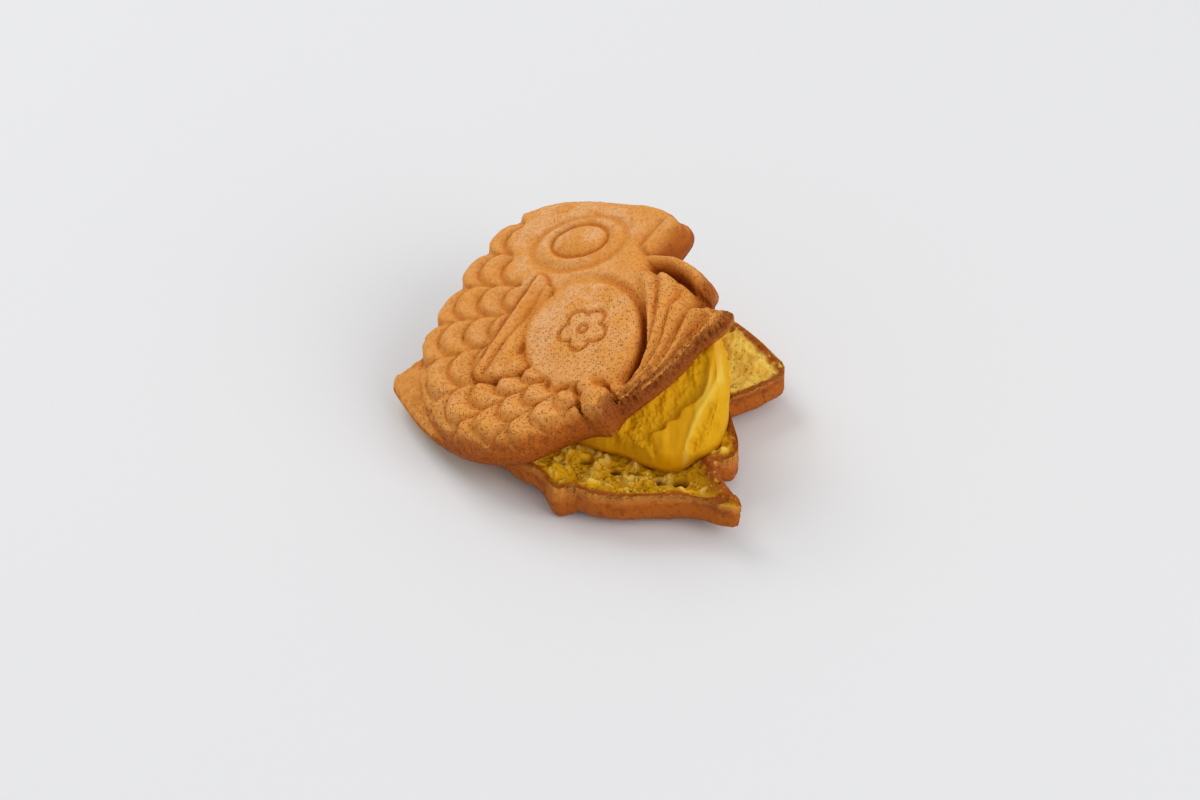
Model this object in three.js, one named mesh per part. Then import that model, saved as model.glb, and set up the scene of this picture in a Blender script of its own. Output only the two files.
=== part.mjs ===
// A taiyaki, a fish-shaped griddle cake, pulled open into its two moulded halves.
// The lower half lies crumb side up, the upper half leans on it relief side up, and the filling shows
// between them.
//
// Both halves share one fish frame: u runs from tail to mouth, v from belly to back, and w stands out of
// the parting plane towards the relief. Millimetres throughout, +Z up.

import * as THREE from "three";

// ---------------------------------------------------------------- driving sizes

const BODY_HEIGHT = 12.2; // relief side of one half over the parting plane, at its shoulder
const BODY_CROWN = 1.7; // extra height in the middle of the flank
const BODY_SHOULDER = 9; // width over which the wall rounds up to full height
const BELLY_SHOULDER = 5.5; // the same at the belly and the mouth, whose walls stand steeper
const LOWER_SHOULDER = 8.5; // the same on the lower half
const THROAT_SHOULDER = 4.6; // and on its throat, whose wall stands steeper
const LOWER_SLIP = 1.8; // the lower mould sat this much further back
const LOWER_TAIL = -40; // where the lower half's body ends and its tail stub begins
const UPPER_SKIRT = 3; // tail stub and squeezed-out edge of the upper half
const LOWER_SKIRT = 4; // and of the lower half
const SKIRT_SHOULDER = 2.2;
const CRUST_WALL = 5.5; // crust and crumb left between the relief and the hollow
const RIM_BAND = 4; // flat torn band around each hollow
const TOUCH_GAP = 0.3; // play between pieces that touch
const ROOF_GAP = 1.8; // filling under the faceted roof of the hollow
const SEAT_GAP = 0.9; // filling over the faceted crumb

const REST_HEIGHT = 12.5; // parting plane of the lower half over the table
const PRESSED_RELIEF = 13.9; // relief higher than this is pressed flat against the table
const CENTRE_SHIFT = [3.11, 6.16]; // puts the middle of the finished cake over the origin

// Named angles and places of the two halves on the table.
const LEAN_SIDE = 21; // degrees: the upper half rises towards the mouth
const LEAN_FRONT = 8; // degrees: and drops towards the belly
const UPPER_TURN = 15; // degrees: turn of the fish within its leaning plane
const UPPER_ORIGIN = [-5.7, -10.3, 24.3];
const LOWER_TURN = -21; // degrees: the lower half points its mouth to the front right
const LOWER_ORIGIN = [1, -22.5];

// ---------------------------------------------------------------- outlines in the fish frame

const FISH_RIM = [
  [45.1, -12.9], // tip of the fan fin
  [40.4, -7.4], // recess under the chin
  [43.4, -3.6], // lower lip
  [43.2, 2.4],
  [39.2, 10.6],
  [34.6, 14.2], // corner of the mouth
  [38.9, 16.9], // upper lip
  [44.2, 21.4],
  [45, 26.8],
  [36, 37.4], // forehead
  [25.5, 48],
  [13, 55.8],
  [1, 57.3], // top of the head
  [-10.3, 53],
  [-21, 45.8], // back
  [-30.6, 37.4],
  [-38, 31.4],
  [-46, 27.2],
  [-53, 25], // tail stub
  [-52, 13],
  [-50, 4],
  [-45.8, -6.5],
  [-39.6, -16.3],
  [-30.3, -24.3], // squeezed-out edge at the belly
  [-23.5, -27.2],
  [-14, -28],
  [-5, -29.6],
  [0.2, -32.8], // belly knob
  [5, -29.4],
  [14.9, -26.9], // fan fin
  [25.2, -23.4],
  [32.6, -19.2],
  [40.5, -17.3],
];

const BODY_EDGE = [
  [33, 14],
  [38.2, 18.6],
  [42.4, 22.2],
  [43.4, 27],
  [36, 37.4],
  [25.5, 48],
  [13, 55.8],
  [1, 57.3],
  [-10.3, 53],
  [-21, 45.8],
  [-30.6, 37.4],
  [-39.5, 28.5],
  [-44.5, 16.5],
  [-46, 4],
  [-43.5, -7.5],
  [-36.5, -16.5],
  [-28, -22.8],
  [-19, -27],
  [-5, -29.4],
  [8, -25.5],
  [20, -15],
  [28.5, -2],
];

const FAN_EDGE = [
  [2, -27.5],
  [14.9, -26.9],
  [25.2, -23.4],
  [32.6, -19.2],
  [40.5, -17.3],
  [45.1, -12.9],
  [40.6, -7.6],
  [37.3, -1.6],
  [34, 4.5],
  [30, 10],
  [24, 8],
  [20.5, -3],
  [14, -16],
];

// Line that the fan's pleats follow, past the tip of the fin.
const PLEAT_GUIDE = [
  [1, -29.5],
  [14.9, -26.9],
  [25.2, -23.4],
  [32.6, -19.2],
  [40.5, -17.3],
  [46.5, -13.5],
  [49.5, -7],
];

const LEAF_EDGE = [
  [0.8, 25],
  [-4, 21.5],
  [-11, 16],
  [-18, 10],
  [-24, 5],
  [-28.5, 0.8],
  [-27, -2],
  [-22, -4.7],
  [-16, -5.8],
  [-10, -5],
  [-6, 0],
  [-3, 8],
  [1.6, 18],
];

// Upper side of the leaf fin, which its ribs follow.
const LEAF_BACK = [
  [0.8, 25],
  [-4, 21.5],
  [-11, 16],
  [-18, 10],
  [-24, 5],
  [-29, 0.5],
];

const LOWER_LIP = [
  [30.5, 14],
  [35.2, 10.6],
  [38.4, 5.5],
  [40.6, 0],
  [41, -3.6],
];

const UPPER_LIP = [
  [31.6, 16.9],
  [41, 22],
];

// The lower half tore wider at the mouth, and its rim was pushed in under the upper half.
const LOWER_RIM = [
  [48.6, -20.2], // tip of the torn fin
  [44.6, -16.8],
  [39.4, -11.4], // notch between fin and lip
  [35.2, -5.8],
  [39.6, -1.8], // lower lip
  [39.6, 3.1],
  [34.2, 13.3],
  [30.6, 20.8], // torn corner of the mouth
  [35.2, 26.7],
  [41.7, 37.9], // upper lip
  [40.6, 41.2],
  [36.4, 44.6],
  [30, 49.4], // forehead
  [18, 55.6],
  [4, 56],
  [-9, 50],
  [-20, 42],
  [-30, 34],
  [-38, 28], // tail stub
  [-46, 22],
  [-45.4, 8],
  [-41, -4],
  [-32, -14],
  [-23.6, -20.8],
  [-15.6, -24.2],
  [-8, -27], // belly knob
  [-2, -31.8],
  [1.6, -29.2],
  [8, -30],
  [15.7, -28.3],
  [27, -23.4],
  [36, -20.9],
  [43, -21.4],
];

// Filling on the table plane, before the shift to the middle.
const FILLING_EDGE = [
  [37, -17],
  [37.5, -6],
  [33, 6],
  [21, 13],
  [6, 12],
  [-8, 3],
  [-13, -10],
  [-10, -24],
  [-2, -31],
  [6, -34.5],
  [14, -40.4],
  [22, -41.8],
  [28.5, -40],
  [33.5, -34],
  [36.2, -26],
];

// ---------------------------------------------------------------- small mathematics

const radians = THREE.MathUtils.degToRad;
const clamp = THREE.MathUtils.clamp;
const mix = THREE.MathUtils.lerp;
const ramp = THREE.MathUtils.smoothstep; // ramp(x, low, high)

/** Larger of two heights, with the crease between them rounded over the blend width. */
function softMax(a, b, blend) {
  const near = Math.max(blend - Math.abs(a - b), 0) / blend;
  return Math.max(a, b) + (near * near * blend) / 4;
}

/** Smooth hump of height 1 around zero. */
function bell(x, width) {
  return Math.exp(-Math.pow(x / width, 2));
}

/** Rounded shoulder: 0 at the edge, 1 once the depth reaches the shoulder width. */
function shoulder(depth, width, fullness = 2.3) {
  const inward = 1 - clamp(depth / width, 0, 1);
  return Math.pow(1 - Math.pow(inward, fullness), 1 / fullness);
}

/** Even samples along a smooth curve through the given points. */
function trace(points, count, closed) {
  const vectors = points.map(([x, y]) => new THREE.Vector3(x, y, 0));
  const curve = new THREE.CatmullRomCurve3(vectors, closed, "centripetal");
  const samples = curve.getSpacedPoints(count).map((p) => [p.x, p.y]);
  return closed ? samples.slice(0, count) : samples;
}

/** Distance from a point to a traced line. */
function distanceTo(line, x, y, closed) {
  const last = closed ? line.length : line.length - 1;
  let best = Infinity;
  for (let i = 0; i < last; i++) {
    const [ax, ay] = line[i];
    const [bx, by] = line[(i + 1) % line.length];
    const dx = bx - ax;
    const dy = by - ay;
    const along = clamp(((x - ax) * dx + (y - ay) * dy) / (dx * dx + dy * dy), 0, 1);
    best = Math.min(best, Math.hypot(x - ax - along * dx, y - ay - along * dy));
  }
  return best;
}

/** Depth inside a closed traced line, negative outside. */
function depthIn(line, x, y) {
  let inside = false;
  for (let i = 0; i < line.length; i++) {
    const [ax, ay] = line[i];
    const [bx, by] = line[(i + 1) % line.length];
    if (ay > y !== by > y && x < ax + ((y - ay) / (by - ay)) * (bx - ax)) inside = !inside;
  }
  return distanceTo(line, x, y, true) * (inside ? 1 : -1);
}

/** Place along the axes of a turned ellipse, as fractions of its two radii. */
function ellipsePlace({ centre, radii, turn }, u, v) {
  const c = Math.cos(radians(turn));
  const s = Math.sin(radians(turn));
  const du = u - centre[0];
  const dv = v - centre[1];
  return [(du * c + dv * s) / radii[0], (-du * s + dv * c) / radii[1]];
}

// ---------------------------------------------------------------- the fish relief

const TRACE_COUNT = 160;
const bodyLine = trace(BODY_EDGE, TRACE_COUNT, true);
const fanLine = trace(FAN_EDGE, TRACE_COUNT, true);
const leafLine = trace(LEAF_EDGE, TRACE_COUNT, true);
const leafBack = trace(LEAF_BACK, 16, false);
const pleatGuide = trace(PLEAT_GUIDE, 40, false);
const lowerLip = trace(LOWER_LIP, 12, false);
const upperLip = trace(UPPER_LIP, 6, false);

const EYE = { centre: [15, 30.3], radii: [8.5, 6], turn: -25 };
const ORBIT = { centre: [14.3, 29.6], radii: [13.8, 9.6], turn: -22 };
const PLAQUE = { centre: [4.6, -3.2], radii: [17, 19], turn: 0 };
const KNOB = { centre: [-0.2, -25.4], radii: [4.9, 7.4], turn: 4 };
const KNOB_BEADS = [
  { centre: [0.4, -23.4], radius: 3, top: 13.4 },
  { centre: [0.1, -28.4], radius: 4.6, top: 12.2 },
];
const GILL = { centre: [18.5, 30], radius: 24.2, step: 1.3 };
const FAN = { inner: 12.6, rimNear: 7, rimFar: 4, pleatNear: 2.3, pleatFar: 3.6, lift: 1.6 };

// Rows of scales fan out from a hub under the chin: the angle of each row, and its shift along.
const SCALE = { hub: [49, -14], length: 8, bulge: 0.45, lift: 2.8 };
const ROW_ANGLES = [-29, -22, -15, -8.5, -2, 5, 14.5, 23, 31.5, 40.5, 49, 58];
const ROW_SHIFTS = [0.4, 0.9, 0.5, 0.15, 0.05, 0.8, 0.45, 0.9, 0.6, 0.1, 0.7, 0.2];

/** Row of scales at an angle about the hub, as a whole number in the middle of each row. */
function scaleRow(angle) {
  const last = ROW_ANGLES.length - 1;
  if (angle <= ROW_ANGLES[0]) return 0;
  if (angle >= ROW_ANGLES[last]) return last;
  const low = ROW_ANGLES.findIndex((a) => a > angle) - 1;
  return low + (angle - ROW_ANGLES[low]) / (ROW_ANGLES[low + 1] - ROW_ANGLES[low]);
}

/** Height of the overlapping scales, whose free edges face the tail. */
function scaleLift(u, v) {
  const du = SCALE.hub[0] - u;
  const dv = v - SCALE.hub[1];
  const row = scaleRow(THREE.MathUtils.radToDeg(Math.atan2(dv, du)));
  const nearest = Math.round(row);
  const across = row - nearest;
  const bulge = SCALE.bulge * (1 - 4 * across * across);
  const along = ROW_SHIFTS[nearest] + bulge - Math.hypot(du, dv) / SCALE.length;
  const place = along - Math.floor(along);
  const crest = Math.sqrt(1 - Math.pow(2 * Math.abs(across), 2.6) * 0.96);
  const pillow = ramp(place, 0, 0.4) * (1 - 0.85 * Math.pow(Math.max(place - 0.3, 0) / 0.7, 1.6));
  return SCALE.lift * crest * (0.15 + 0.85 * pillow);
}

/** Pleated fan fin, highest beside the plaque and thinner towards its rim. */
function fanHeight(u, v, rim) {
  const reach = distanceTo(pleatGuide, u, v, false);
  const phase = reach / mix(FAN.pleatNear, FAN.pleatFar, ramp(u, 5, 25)) + 0.25;
  const groove = Math.abs(2 * (phase - Math.floor(phase)) - 1);
  const thin = mix(FAN.rimNear, FAN.rimFar, ramp(u, 8, 36));
  const plate = mix(thin, FAN.inner, Math.pow(ramp(rim, 0.5, 13), 0.8));
  const pleat = FAN.lift * (0.4 - Math.pow(groove, 2.4)) * ramp(rim, 0, 2);
  const rise = pleat * ramp(u, 3, 12) * (1 - ramp(reach, 9, 18));
  return (plate + rise) * shoulder(depthIn(fanLine, u, v), 1.8);
}

/** Round bead of the belly knob. */
function beadHeight({ centre, radius, top }, u, v) {
  const reach = Math.hypot(u - centre[0], v - centre[1]) / radius;
  return reach < 1 ? top - radius * 0.9 * (1 - Math.sqrt(1 - reach * reach)) : 0;
}

/** Domed eye in its groove, and the ring around it. */
function eyeLift(u, v) {
  const eye = Math.hypot(...ellipsePlace(EYE, u, v));
  const orbit = Math.hypot(...ellipsePlace(ORBIT, u, v));
  const ball = eye < 1 ? 3 * Math.sqrt(1 - eye * eye) - 0.9 : -0.9 * bell(eye - 1, 0.08);
  const dish = -0.5 * (1 - ramp(orbit, 0.95, 1.3));
  return ball + dish + 0.9 * bell(eye - 1.32, 0.22) - 0.5 * bell(orbit - 1.05, 0.1);
}

/** Height of the leaf-shaped side fin, lower where it runs under the plaque. */
function leafHeight(u, v, leaf, plaque) {
  const across = distanceTo(leafBack, u, v, false);
  const ridges = 0.5 * bell(across - 1.7, 1.3) + 0.6 * bell(across - 7.2, 2);
  const grooves = 0.7 * bell(across - 4.2, 0.8) + 0.6 * bell(across - 9.4, 0.8);
  const underPlaque = 2.2 * (1 - ramp(plaque, 1, 1.3));
  const edge = 2.8 * (1 - shoulder(leaf, 2.2));
  return BODY_HEIGHT + BODY_CROWN + 1.1 + ridges - grooves - edge - underPlaque;
}

/** Height of the relief side over the parting plane, given the depths inside the rim and the body. */
function fishHeight(u, v, rim, depth, shoulderWidth, fullness) {
  const pastGill = Math.hypot(u - GILL.centre[0], v - GILL.centre[1]) - GILL.radius;
  const plaque = Math.hypot(...ellipsePlace(PLAQUE, u, v));
  const behind = ramp(pastGill, -0.6, 1) * ramp(-u, -8, 0);
  const scales = scaleLift(u, v);
  const wavy = depth + behind * ramp(depth, 0, 1) * (0.45 * scales - 0.6);
  let body = BODY_HEIGHT * shoulder(wavy, shoulderWidth, fullness);
  body += BODY_CROWN * shoulder(depth, 30, 1.6);
  body += behind * ramp(depth, 0.2, 3) * (scales - GILL.step - 0.6);
  body += (1 - behind) * eyeLift(u, v) * ramp(depth, 1, 4);

  const leaf = depthIn(leafLine, u, v);
  if (leaf <= 0) body -= 0.8 * bell(leaf, 1.1);
  body = mix(body, leafHeight(u, v, leaf, plaque), ramp(leaf, -0.2, 0.7));

  const frontSide = ramp(u - 0.7 * v, 0, 18);
  const moat = mix(0.8, 1.6, frontSide) * ramp(plaque, 0.95, 1.04) * (1 - ramp(plaque, 1.05, 1.18));
  const plaqueTop = BODY_HEIGHT + BODY_CROWN + 0.7 - 1.2 * plaque * plaque;
  body = mix(plaqueTop, body, ramp(plaque, 0.96, 1.05)) - moat;

  const besideKnob = 1 - ramp(Math.hypot(...ellipsePlace(KNOB, u, v)), 1, 1.32);
  const carve = 2.6 * besideKnob * (1 - ramp(v, -26, -21));
  const fan = fanHeight(u, v, rim) * ramp(plaque, 1, 1.12);
  const knob = softMax(...KNOB_BEADS.map((bead) => beadHeight(bead, u, v)), 2);
  const lipBelow = 10.8 * shoulder(3.2 - distanceTo(lowerLip, u, v, false), 3.2, 2);
  const lipAbove = 13 * shoulder(2.7 - distanceTo(upperLip, u, v, false), 2.7, 2.6);
  const lips = Math.max(lipBelow, lipAbove);
  return softMax(softMax(softMax(body - carve, fan - carve, 0.8), knob, 0.6), lips, 0.8);
}

/** Relief height of the upper half, whose body rises out of a low skirt. */
function upperRelief(u, v) {
  const depth = Math.max(depthIn(upperRim, u, v), 0);
  const skirt = UPPER_SKIRT * shoulder(depth, SKIRT_SHOULDER) + 0.12 * Math.min(depth, 8);
  const steep = Math.max(ramp(-v, -2, 16), ramp(u, 28, 37));
  const width = mix(BODY_SHOULDER, BELLY_SHOULDER, steep);
  const body = fishHeight(u, v, depth, depthIn(bodyLine, u, v), width, 2.3);
  return softMax(skirt, body * shoulder(depth, 2.4), 3);
}

/** Relief height of the lower half, whose steep wall follows its torn rim round to the tail. */
function lowerRelief(u, v) {
  const depth = Math.max(depthIn(lowerRim, u, v), 0);
  const skirt = LOWER_SKIRT * shoulder(depth, SKIRT_SHOULDER);
  const throat = ramp(u, -2, 8) * (1 - ramp(u, 26, 40)) * ramp(-v, 5, 15);
  const width = mix(LOWER_SHOULDER, THROAT_SHOULDER, throat);
  const body = fishHeight(u + LOWER_SLIP, v, depth, Math.min(depth, u - LOWER_TAIL), width, 3);
  return softMax(skirt, body * shoulder(depth, 1.2), 0.8);
}

/** Height of the hollow's roof over the parting plane: a torn band, then a smooth dish. */
function hollowHeight(rimLine, u, v) {
  const depth = depthIn(rimLine, u, v);
  const dish = (BODY_HEIGHT + BODY_CROWN - CRUST_WALL) * shoulder(depth - RIM_BAND, 14, 1.8);
  const inBody = ramp(depthIn(bodyLine, u, v), 2, 15);
  return dish * inBody;
}

// ---------------------------------------------------------------- meshes from rings

/** Triangles between two rings of different counts, walking round both together. */
function zipRings(indices, outer, inner, flip) {
  let i = 0;
  let j = 0;
  while (i < outer.count || j < inner.count) {
    const outerNext = (i + 1) / outer.count;
    const innerNext = (j + 1) / inner.count;
    const a = outer.first + (i % outer.count);
    const b = inner.first + (j % inner.count);
    const stepOuter = outerNext <= innerNext;
    const c = stepOuter ? outer.first + ((i + 1) % outer.count) : inner.first + ((j + 1) % inner.count);
    if (stepOuter) i += 1;
    else j += 1;
    indices.push(...(flip ? [c, a, b] : [a, c, b]));
  }
}

/** A closed solid of two stacked surfaces over a star-shaped edge, which they share at its rim. */
function ringSolid({ edge, centre, topRings, underRings, top, under }) {
  const positions = [];
  const indices = [];
  const addRing = (s, count, place) => {
    const first = positions.length / 3;
    for (let k = 0; k < count; k++) {
      const step = (k * edge.length) / count;
      const [ax, ay] = edge[Math.floor(step)];
      const [bx, by] = edge[(Math.floor(step) + 1) % edge.length];
      const x = mix(ax, bx, step % 1);
      const y = mix(ay, by, step % 1);
      positions.push(...place(mix(centre[0], x, s), mix(centre[1], y, s)));
    }
    return { first, count };
  };
  const surface = (rim, rings, place, flip) => {
    let outer = rim;
    for (const { s, count } of rings) {
      const inner = addRing(s, count, place);
      zipRings(indices, outer, inner, flip);
      outer = inner;
    }
    const pole = addRing(0, 1, place).first;
    for (let k = 0; k < outer.count; k++) {
      const a = outer.first + k;
      const b = outer.first + ((k + 1) % outer.count);
      indices.push(...(flip ? [b, a, pole] : [a, b, pole]));
    }
  };
  const rim = addRing(1, edge.length, top);
  surface(rim, topRings, top, false);
  surface(rim, underRings, under, true);
  const geometry = new THREE.BufferGeometry();
  geometry.setAttribute("position", new THREE.Float32BufferAttribute(positions, 3));
  geometry.setIndex(indices);
  return geometry;
}

/** Rings inward from the rim, packed closer at the rim, with fewer points towards the middle. */
function innerRings(rings, rimCount, packing) {
  const places = [];
  for (let i = 1; i < rings; i++) {
    const s = 1 - Math.pow(i / rings, packing);
    places.push({ s, count: Math.max(6, Math.round(rimCount * s)) });
  }
  return places;
}

// ---------------------------------------------------------------- the three pieces

const UPPER_AXES = (() => {
  const across = -Math.sin(radians(LEAN_SIDE));
  const front = -Math.sin(radians(LEAN_FRONT));
  const out = new THREE.Vector3(across, front, Math.sqrt(1 - across * across - front * front));
  const level = new THREE.Vector3(out.z, 0, -out.x).normalize();
  const depth = new THREE.Vector3().crossVectors(out, level);
  const c = Math.cos(radians(UPPER_TURN));
  const s = Math.sin(radians(UPPER_TURN));
  const u = level.clone().multiplyScalar(c).addScaledVector(depth, s);
  const v = level.clone().multiplyScalar(-s).addScaledVector(depth, c);
  return { u, v, out };
})();

const upperRim = trace(FISH_RIM, 168, true);
const lowerRim = trace(LOWER_RIM, 128, true);
const UPPER_MIDDLE = [-2, 8];
const LOWER_MIDDLE = [6.8, 4.4];

/** Fish-frame point of the upper half on the table. */
function placeUpper(u, v, w) {
  const { u: axisU, v: axisV, out } = UPPER_AXES;
  const point = new THREE.Vector3(...UPPER_ORIGIN);
  point.addScaledVector(axisU, u).addScaledVector(axisV, v).addScaledVector(out, w);
  return point.toArray();
}

/** Height of the upper half's parting plane, lifted by w, over a point of the table. */
function upperPlaneHeight(x, y, w = 0) {
  const { out } = UPPER_AXES;
  const [ox, oy, oz] = UPPER_ORIGIN;
  return oz + (w - out.x * (x - ox) - out.y * (y - oy)) / out.z;
}

/** Height of the upper half's hollow over a table point, found by stepping up to its slanting roof. */
function upperRoofHeight(x, y) {
  const middle = new THREE.Vector3(...UPPER_ORIGIN);
  let height = upperPlaneHeight(x, y);
  for (let step = 0; step < 6; step++) {
    const offset = new THREE.Vector3(x, y, height).sub(middle);
    const roof = hollowHeight(upperRim, offset.dot(UPPER_AXES.u), offset.dot(UPPER_AXES.v));
    height = upperPlaneHeight(x, y, roof);
  }
  return height;
}

/** Height of the lower half's rim over the table: level, and pressed down where the upper half lies on it. */
function lowerRimHeight(x, y) {
  return Math.min(REST_HEIGHT, upperPlaneHeight(x, y) - TOUCH_GAP - 0.05);
}

const turnCos = Math.cos(radians(LOWER_TURN));
const turnSin = Math.sin(radians(LOWER_TURN));

/** Table point under a fish-frame point of the lower half. */
function lowerSpot(u, v) {
  return [LOWER_ORIGIN[0] + u * turnCos - v * turnSin, LOWER_ORIGIN[1] + u * turnSin + v * turnCos];
}

/** Fish-frame u and v of the lower half at a table point. */
function lowerPlace(x, y) {
  const dx = x - LOWER_ORIGIN[0];
  const dy = y - LOWER_ORIGIN[1];
  return [dx * turnCos + dy * turnSin, -dx * turnSin + dy * turnCos];
}

/** Depth of the crumb below the lower rim: shallow at the jaw, deepest under the filling. */
function crumbDepth(u, v) {
  const depth = depthIn(lowerRim, u, v);
  const dish = ramp(depth, 0.6, 13);
  const jaw = ramp(v, 20, 34) * ramp(u, 14, 28);
  return mix(5.4, 2.6, jaw) * dish;
}

/** Height of the crumb surface over the table. */
function crumbHeight(x, y) {
  return lowerRimHeight(x, y) - crumbDepth(...lowerPlace(x, y));
}

/** Upper half: relief over, hollow under. */
function upperHalfGeometry() {
  return ringSolid({
    edge: upperRim,
    centre: UPPER_MIDDLE,
    topRings: innerRings(24, 168, 1.15),
    underRings: innerRings(11, 84, 1),
    top: (u, v) => placeUpper(u, v, upperRelief(u, v)),
    under: (u, v) => placeUpper(u, v, hollowHeight(upperRim, u, v)),
  });
}

/** Lower half: the same relief pressed level against the table, crumb side up. */
function lowerHalfGeometry() {
  const crumb = (u, v) => {
    const [x, y] = lowerSpot(u, v);
    return [x, y, crumbHeight(x, y)];
  };
  const relief = (u, v) => {
    const [x, y] = lowerSpot(u, v);
    const drop = lowerRelief(u, v) * (REST_HEIGHT / PRESSED_RELIEF);
    return [x, y, Math.max(lowerRimHeight(x, y) - drop, 0)];
  };
  return ringSolid({
    edge: lowerRim,
    centre: LOWER_MIDDLE,
    topRings: innerRings(11, 104, 1.15),
    underRings: innerRings(16, 128, 1.3),
    top: crumb,
    under: relief,
  });
}

/** Height of the filling's open front face, which leans back from the crumb up under the fan fin. */
function fillingFront(x, y) {
  const rise = 9 + 0.98 * (y + 43) + 0.25 * (x - 20);
  const ribbon = x - (21 + 0.42 * (y + 42));
  const slab = 2.6 * ramp(ribbon, -6.5, -4.5) * (1 - ramp(ribbon, 4.5, 7));
  return rise + slab;
}

/** Filling: a mound on the crumb, pressed up into the hollow of the upper half. */
function fillingGeometry() {
  const edge = trace(FILLING_EDGE, 56, true);
  const seat = (x, y) => [x, y, crumbHeight(x, y) + SEAT_GAP];
  const crest = (x, y) => {
    const low = crumbHeight(x, y) + SEAT_GAP;
    const depth = depthIn(edge, x, y);
    const roof = upperRoofHeight(x, y);
    const mound = mix(low, low + 40, shoulder(depth, 16, 1.7));
    return [x, y, Math.max(Math.min(mound, fillingFront(x, y), roof - ROOF_GAP), low)];
  };
  return ringSolid({
    edge,
    centre: [13, -16],
    topRings: innerRings(11, 56, 1.1),
    underRings: innerRings(8, 56, 1),
    top: crest,
    under: seat,
  });
}

// ---------------------------------------------------------------- the cake

const crust = new THREE.MeshStandardMaterial({ color: 0xc98a4b, roughness: 0.72, metalness: 0 });
const crumb = new THREE.MeshStandardMaterial({ color: 0xc08445, roughness: 0.85, metalness: 0 });
const filling = new THREE.MeshStandardMaterial({ color: 0xd9a514, roughness: 0.5, metalness: 0 });

/** A named piece of the cake. */
function piece(name, geometry, material) {
  const mesh = new THREE.Mesh(geometry, material);
  mesh.name = name;
  return mesh;
}

const taiyaki = new THREE.Group();
taiyaki.add(piece("upper_half", upperHalfGeometry(), crust));
taiyaki.add(piece("lower_half", lowerHalfGeometry(), crumb));
taiyaki.add(piece("filling", fillingGeometry(), filling));
taiyaki.position.set(CENTRE_SHIFT[0], CENTRE_SHIFT[1], 0);

export default taiyaki;
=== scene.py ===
import logging
import math
import random
from collections.abc import Callable
from dataclasses import dataclass, field
from enum import Enum

import bmesh
import bpy
import numpy as np
from mathutils import Euler, Matrix, Vector, noise
from mathutils.bvhtree import BVHTree


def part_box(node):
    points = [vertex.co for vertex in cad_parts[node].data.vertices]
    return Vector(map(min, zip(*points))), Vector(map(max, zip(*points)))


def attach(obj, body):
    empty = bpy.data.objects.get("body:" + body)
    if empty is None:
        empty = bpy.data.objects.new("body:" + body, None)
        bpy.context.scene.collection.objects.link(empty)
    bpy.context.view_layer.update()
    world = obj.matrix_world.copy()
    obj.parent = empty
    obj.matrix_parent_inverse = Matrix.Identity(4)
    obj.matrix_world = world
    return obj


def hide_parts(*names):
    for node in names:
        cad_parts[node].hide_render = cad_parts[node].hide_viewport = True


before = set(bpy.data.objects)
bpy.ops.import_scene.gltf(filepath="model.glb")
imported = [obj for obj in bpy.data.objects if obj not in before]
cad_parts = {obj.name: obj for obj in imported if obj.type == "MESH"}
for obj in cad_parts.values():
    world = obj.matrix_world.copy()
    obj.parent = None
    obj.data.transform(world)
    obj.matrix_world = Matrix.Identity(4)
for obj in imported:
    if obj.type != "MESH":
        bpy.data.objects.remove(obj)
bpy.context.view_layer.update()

LOG = logging.getLogger("taiyaki")
MM = 0.001
Pair = tuple[float, float]
Triple = tuple[float, float, float]
Points = list[Pair]
Tone = tuple[int, int, int]
Amount = np.ndarray | float
Socket = bpy.types.NodeSocket

# The cake is worked out in millimetres in its making frame, and moved so that its middle is over the origin.
CENTRE_SHIFT = np.array([3.11, 6.16, 0.0])
# Height of the lower half's rim over the table, and the height of relief that is pressed into it.
REST_HEIGHT = 12.5
PRESSED_RELIEF = 13.9
# Height of the flank at its shoulder, and how much higher its middle is.
BODY_HEIGHT = 12.2
BODY_CROWN = 1.7
FLANK_TOP = BODY_HEIGHT + BODY_CROWN
# Room between the two halves, and between a piece and its CAD node's box.
TOUCH_GAP = 0.35
BOX_CLEARANCE = 0.01

# Samples between two corners of a curve, and distances that count as none.
CURVE_STEPS = 24
TINY = 1e-6
WELD = 1e-5
# How noise changes from one layer to the next, and the radii of bubbles as a share of their spacing.
NOISE_FALL, NOISE_STEP = 0.7, 2.1
BUBBLE_LEAST, BUBBLE_SPREAD = 0.18, 0.42

# Places of the colour sockets on a Mix node.
MIX_GROUND, MIX_TONE, MIX_RESULT = 6, 7, 2


# ---------------------------------------------------------------- small mathematics


def ramp(x: np.ndarray, low: float, high: float) -> np.ndarray:
    """Smooth step from 0 at low to 1 at high."""
    t = np.clip((x - low) / (high - low), 0.0, 1.0)
    return t * t * (3 - 2 * t)


def mix(a: Amount, b: Amount, t: Amount) -> Amount:
    """Straight blend of a and b."""
    return a + (b - a) * t


def bell(x: np.ndarray, width: float) -> np.ndarray:
    """Bell curve of x, 1 at zero."""
    return np.exp(-((x / width) ** 2))


def soft_max(a: np.ndarray, b: np.ndarray, blend: float) -> np.ndarray:
    """Larger of two heights, with the crease between them rounded."""
    near = np.maximum(blend - np.abs(a - b), 0) / blend
    return np.maximum(a, b) + near * near * blend / 4


def shoulder(depth: np.ndarray, width: Amount, fullness: float = 2.3) -> np.ndarray:
    """Rounded shoulder: 0 at the edge, 1 once the depth reaches the width."""
    inward = 1 - np.clip(depth / width, 0, 1)
    return (1 - inward**fullness) ** (1 / fullness)


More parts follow.
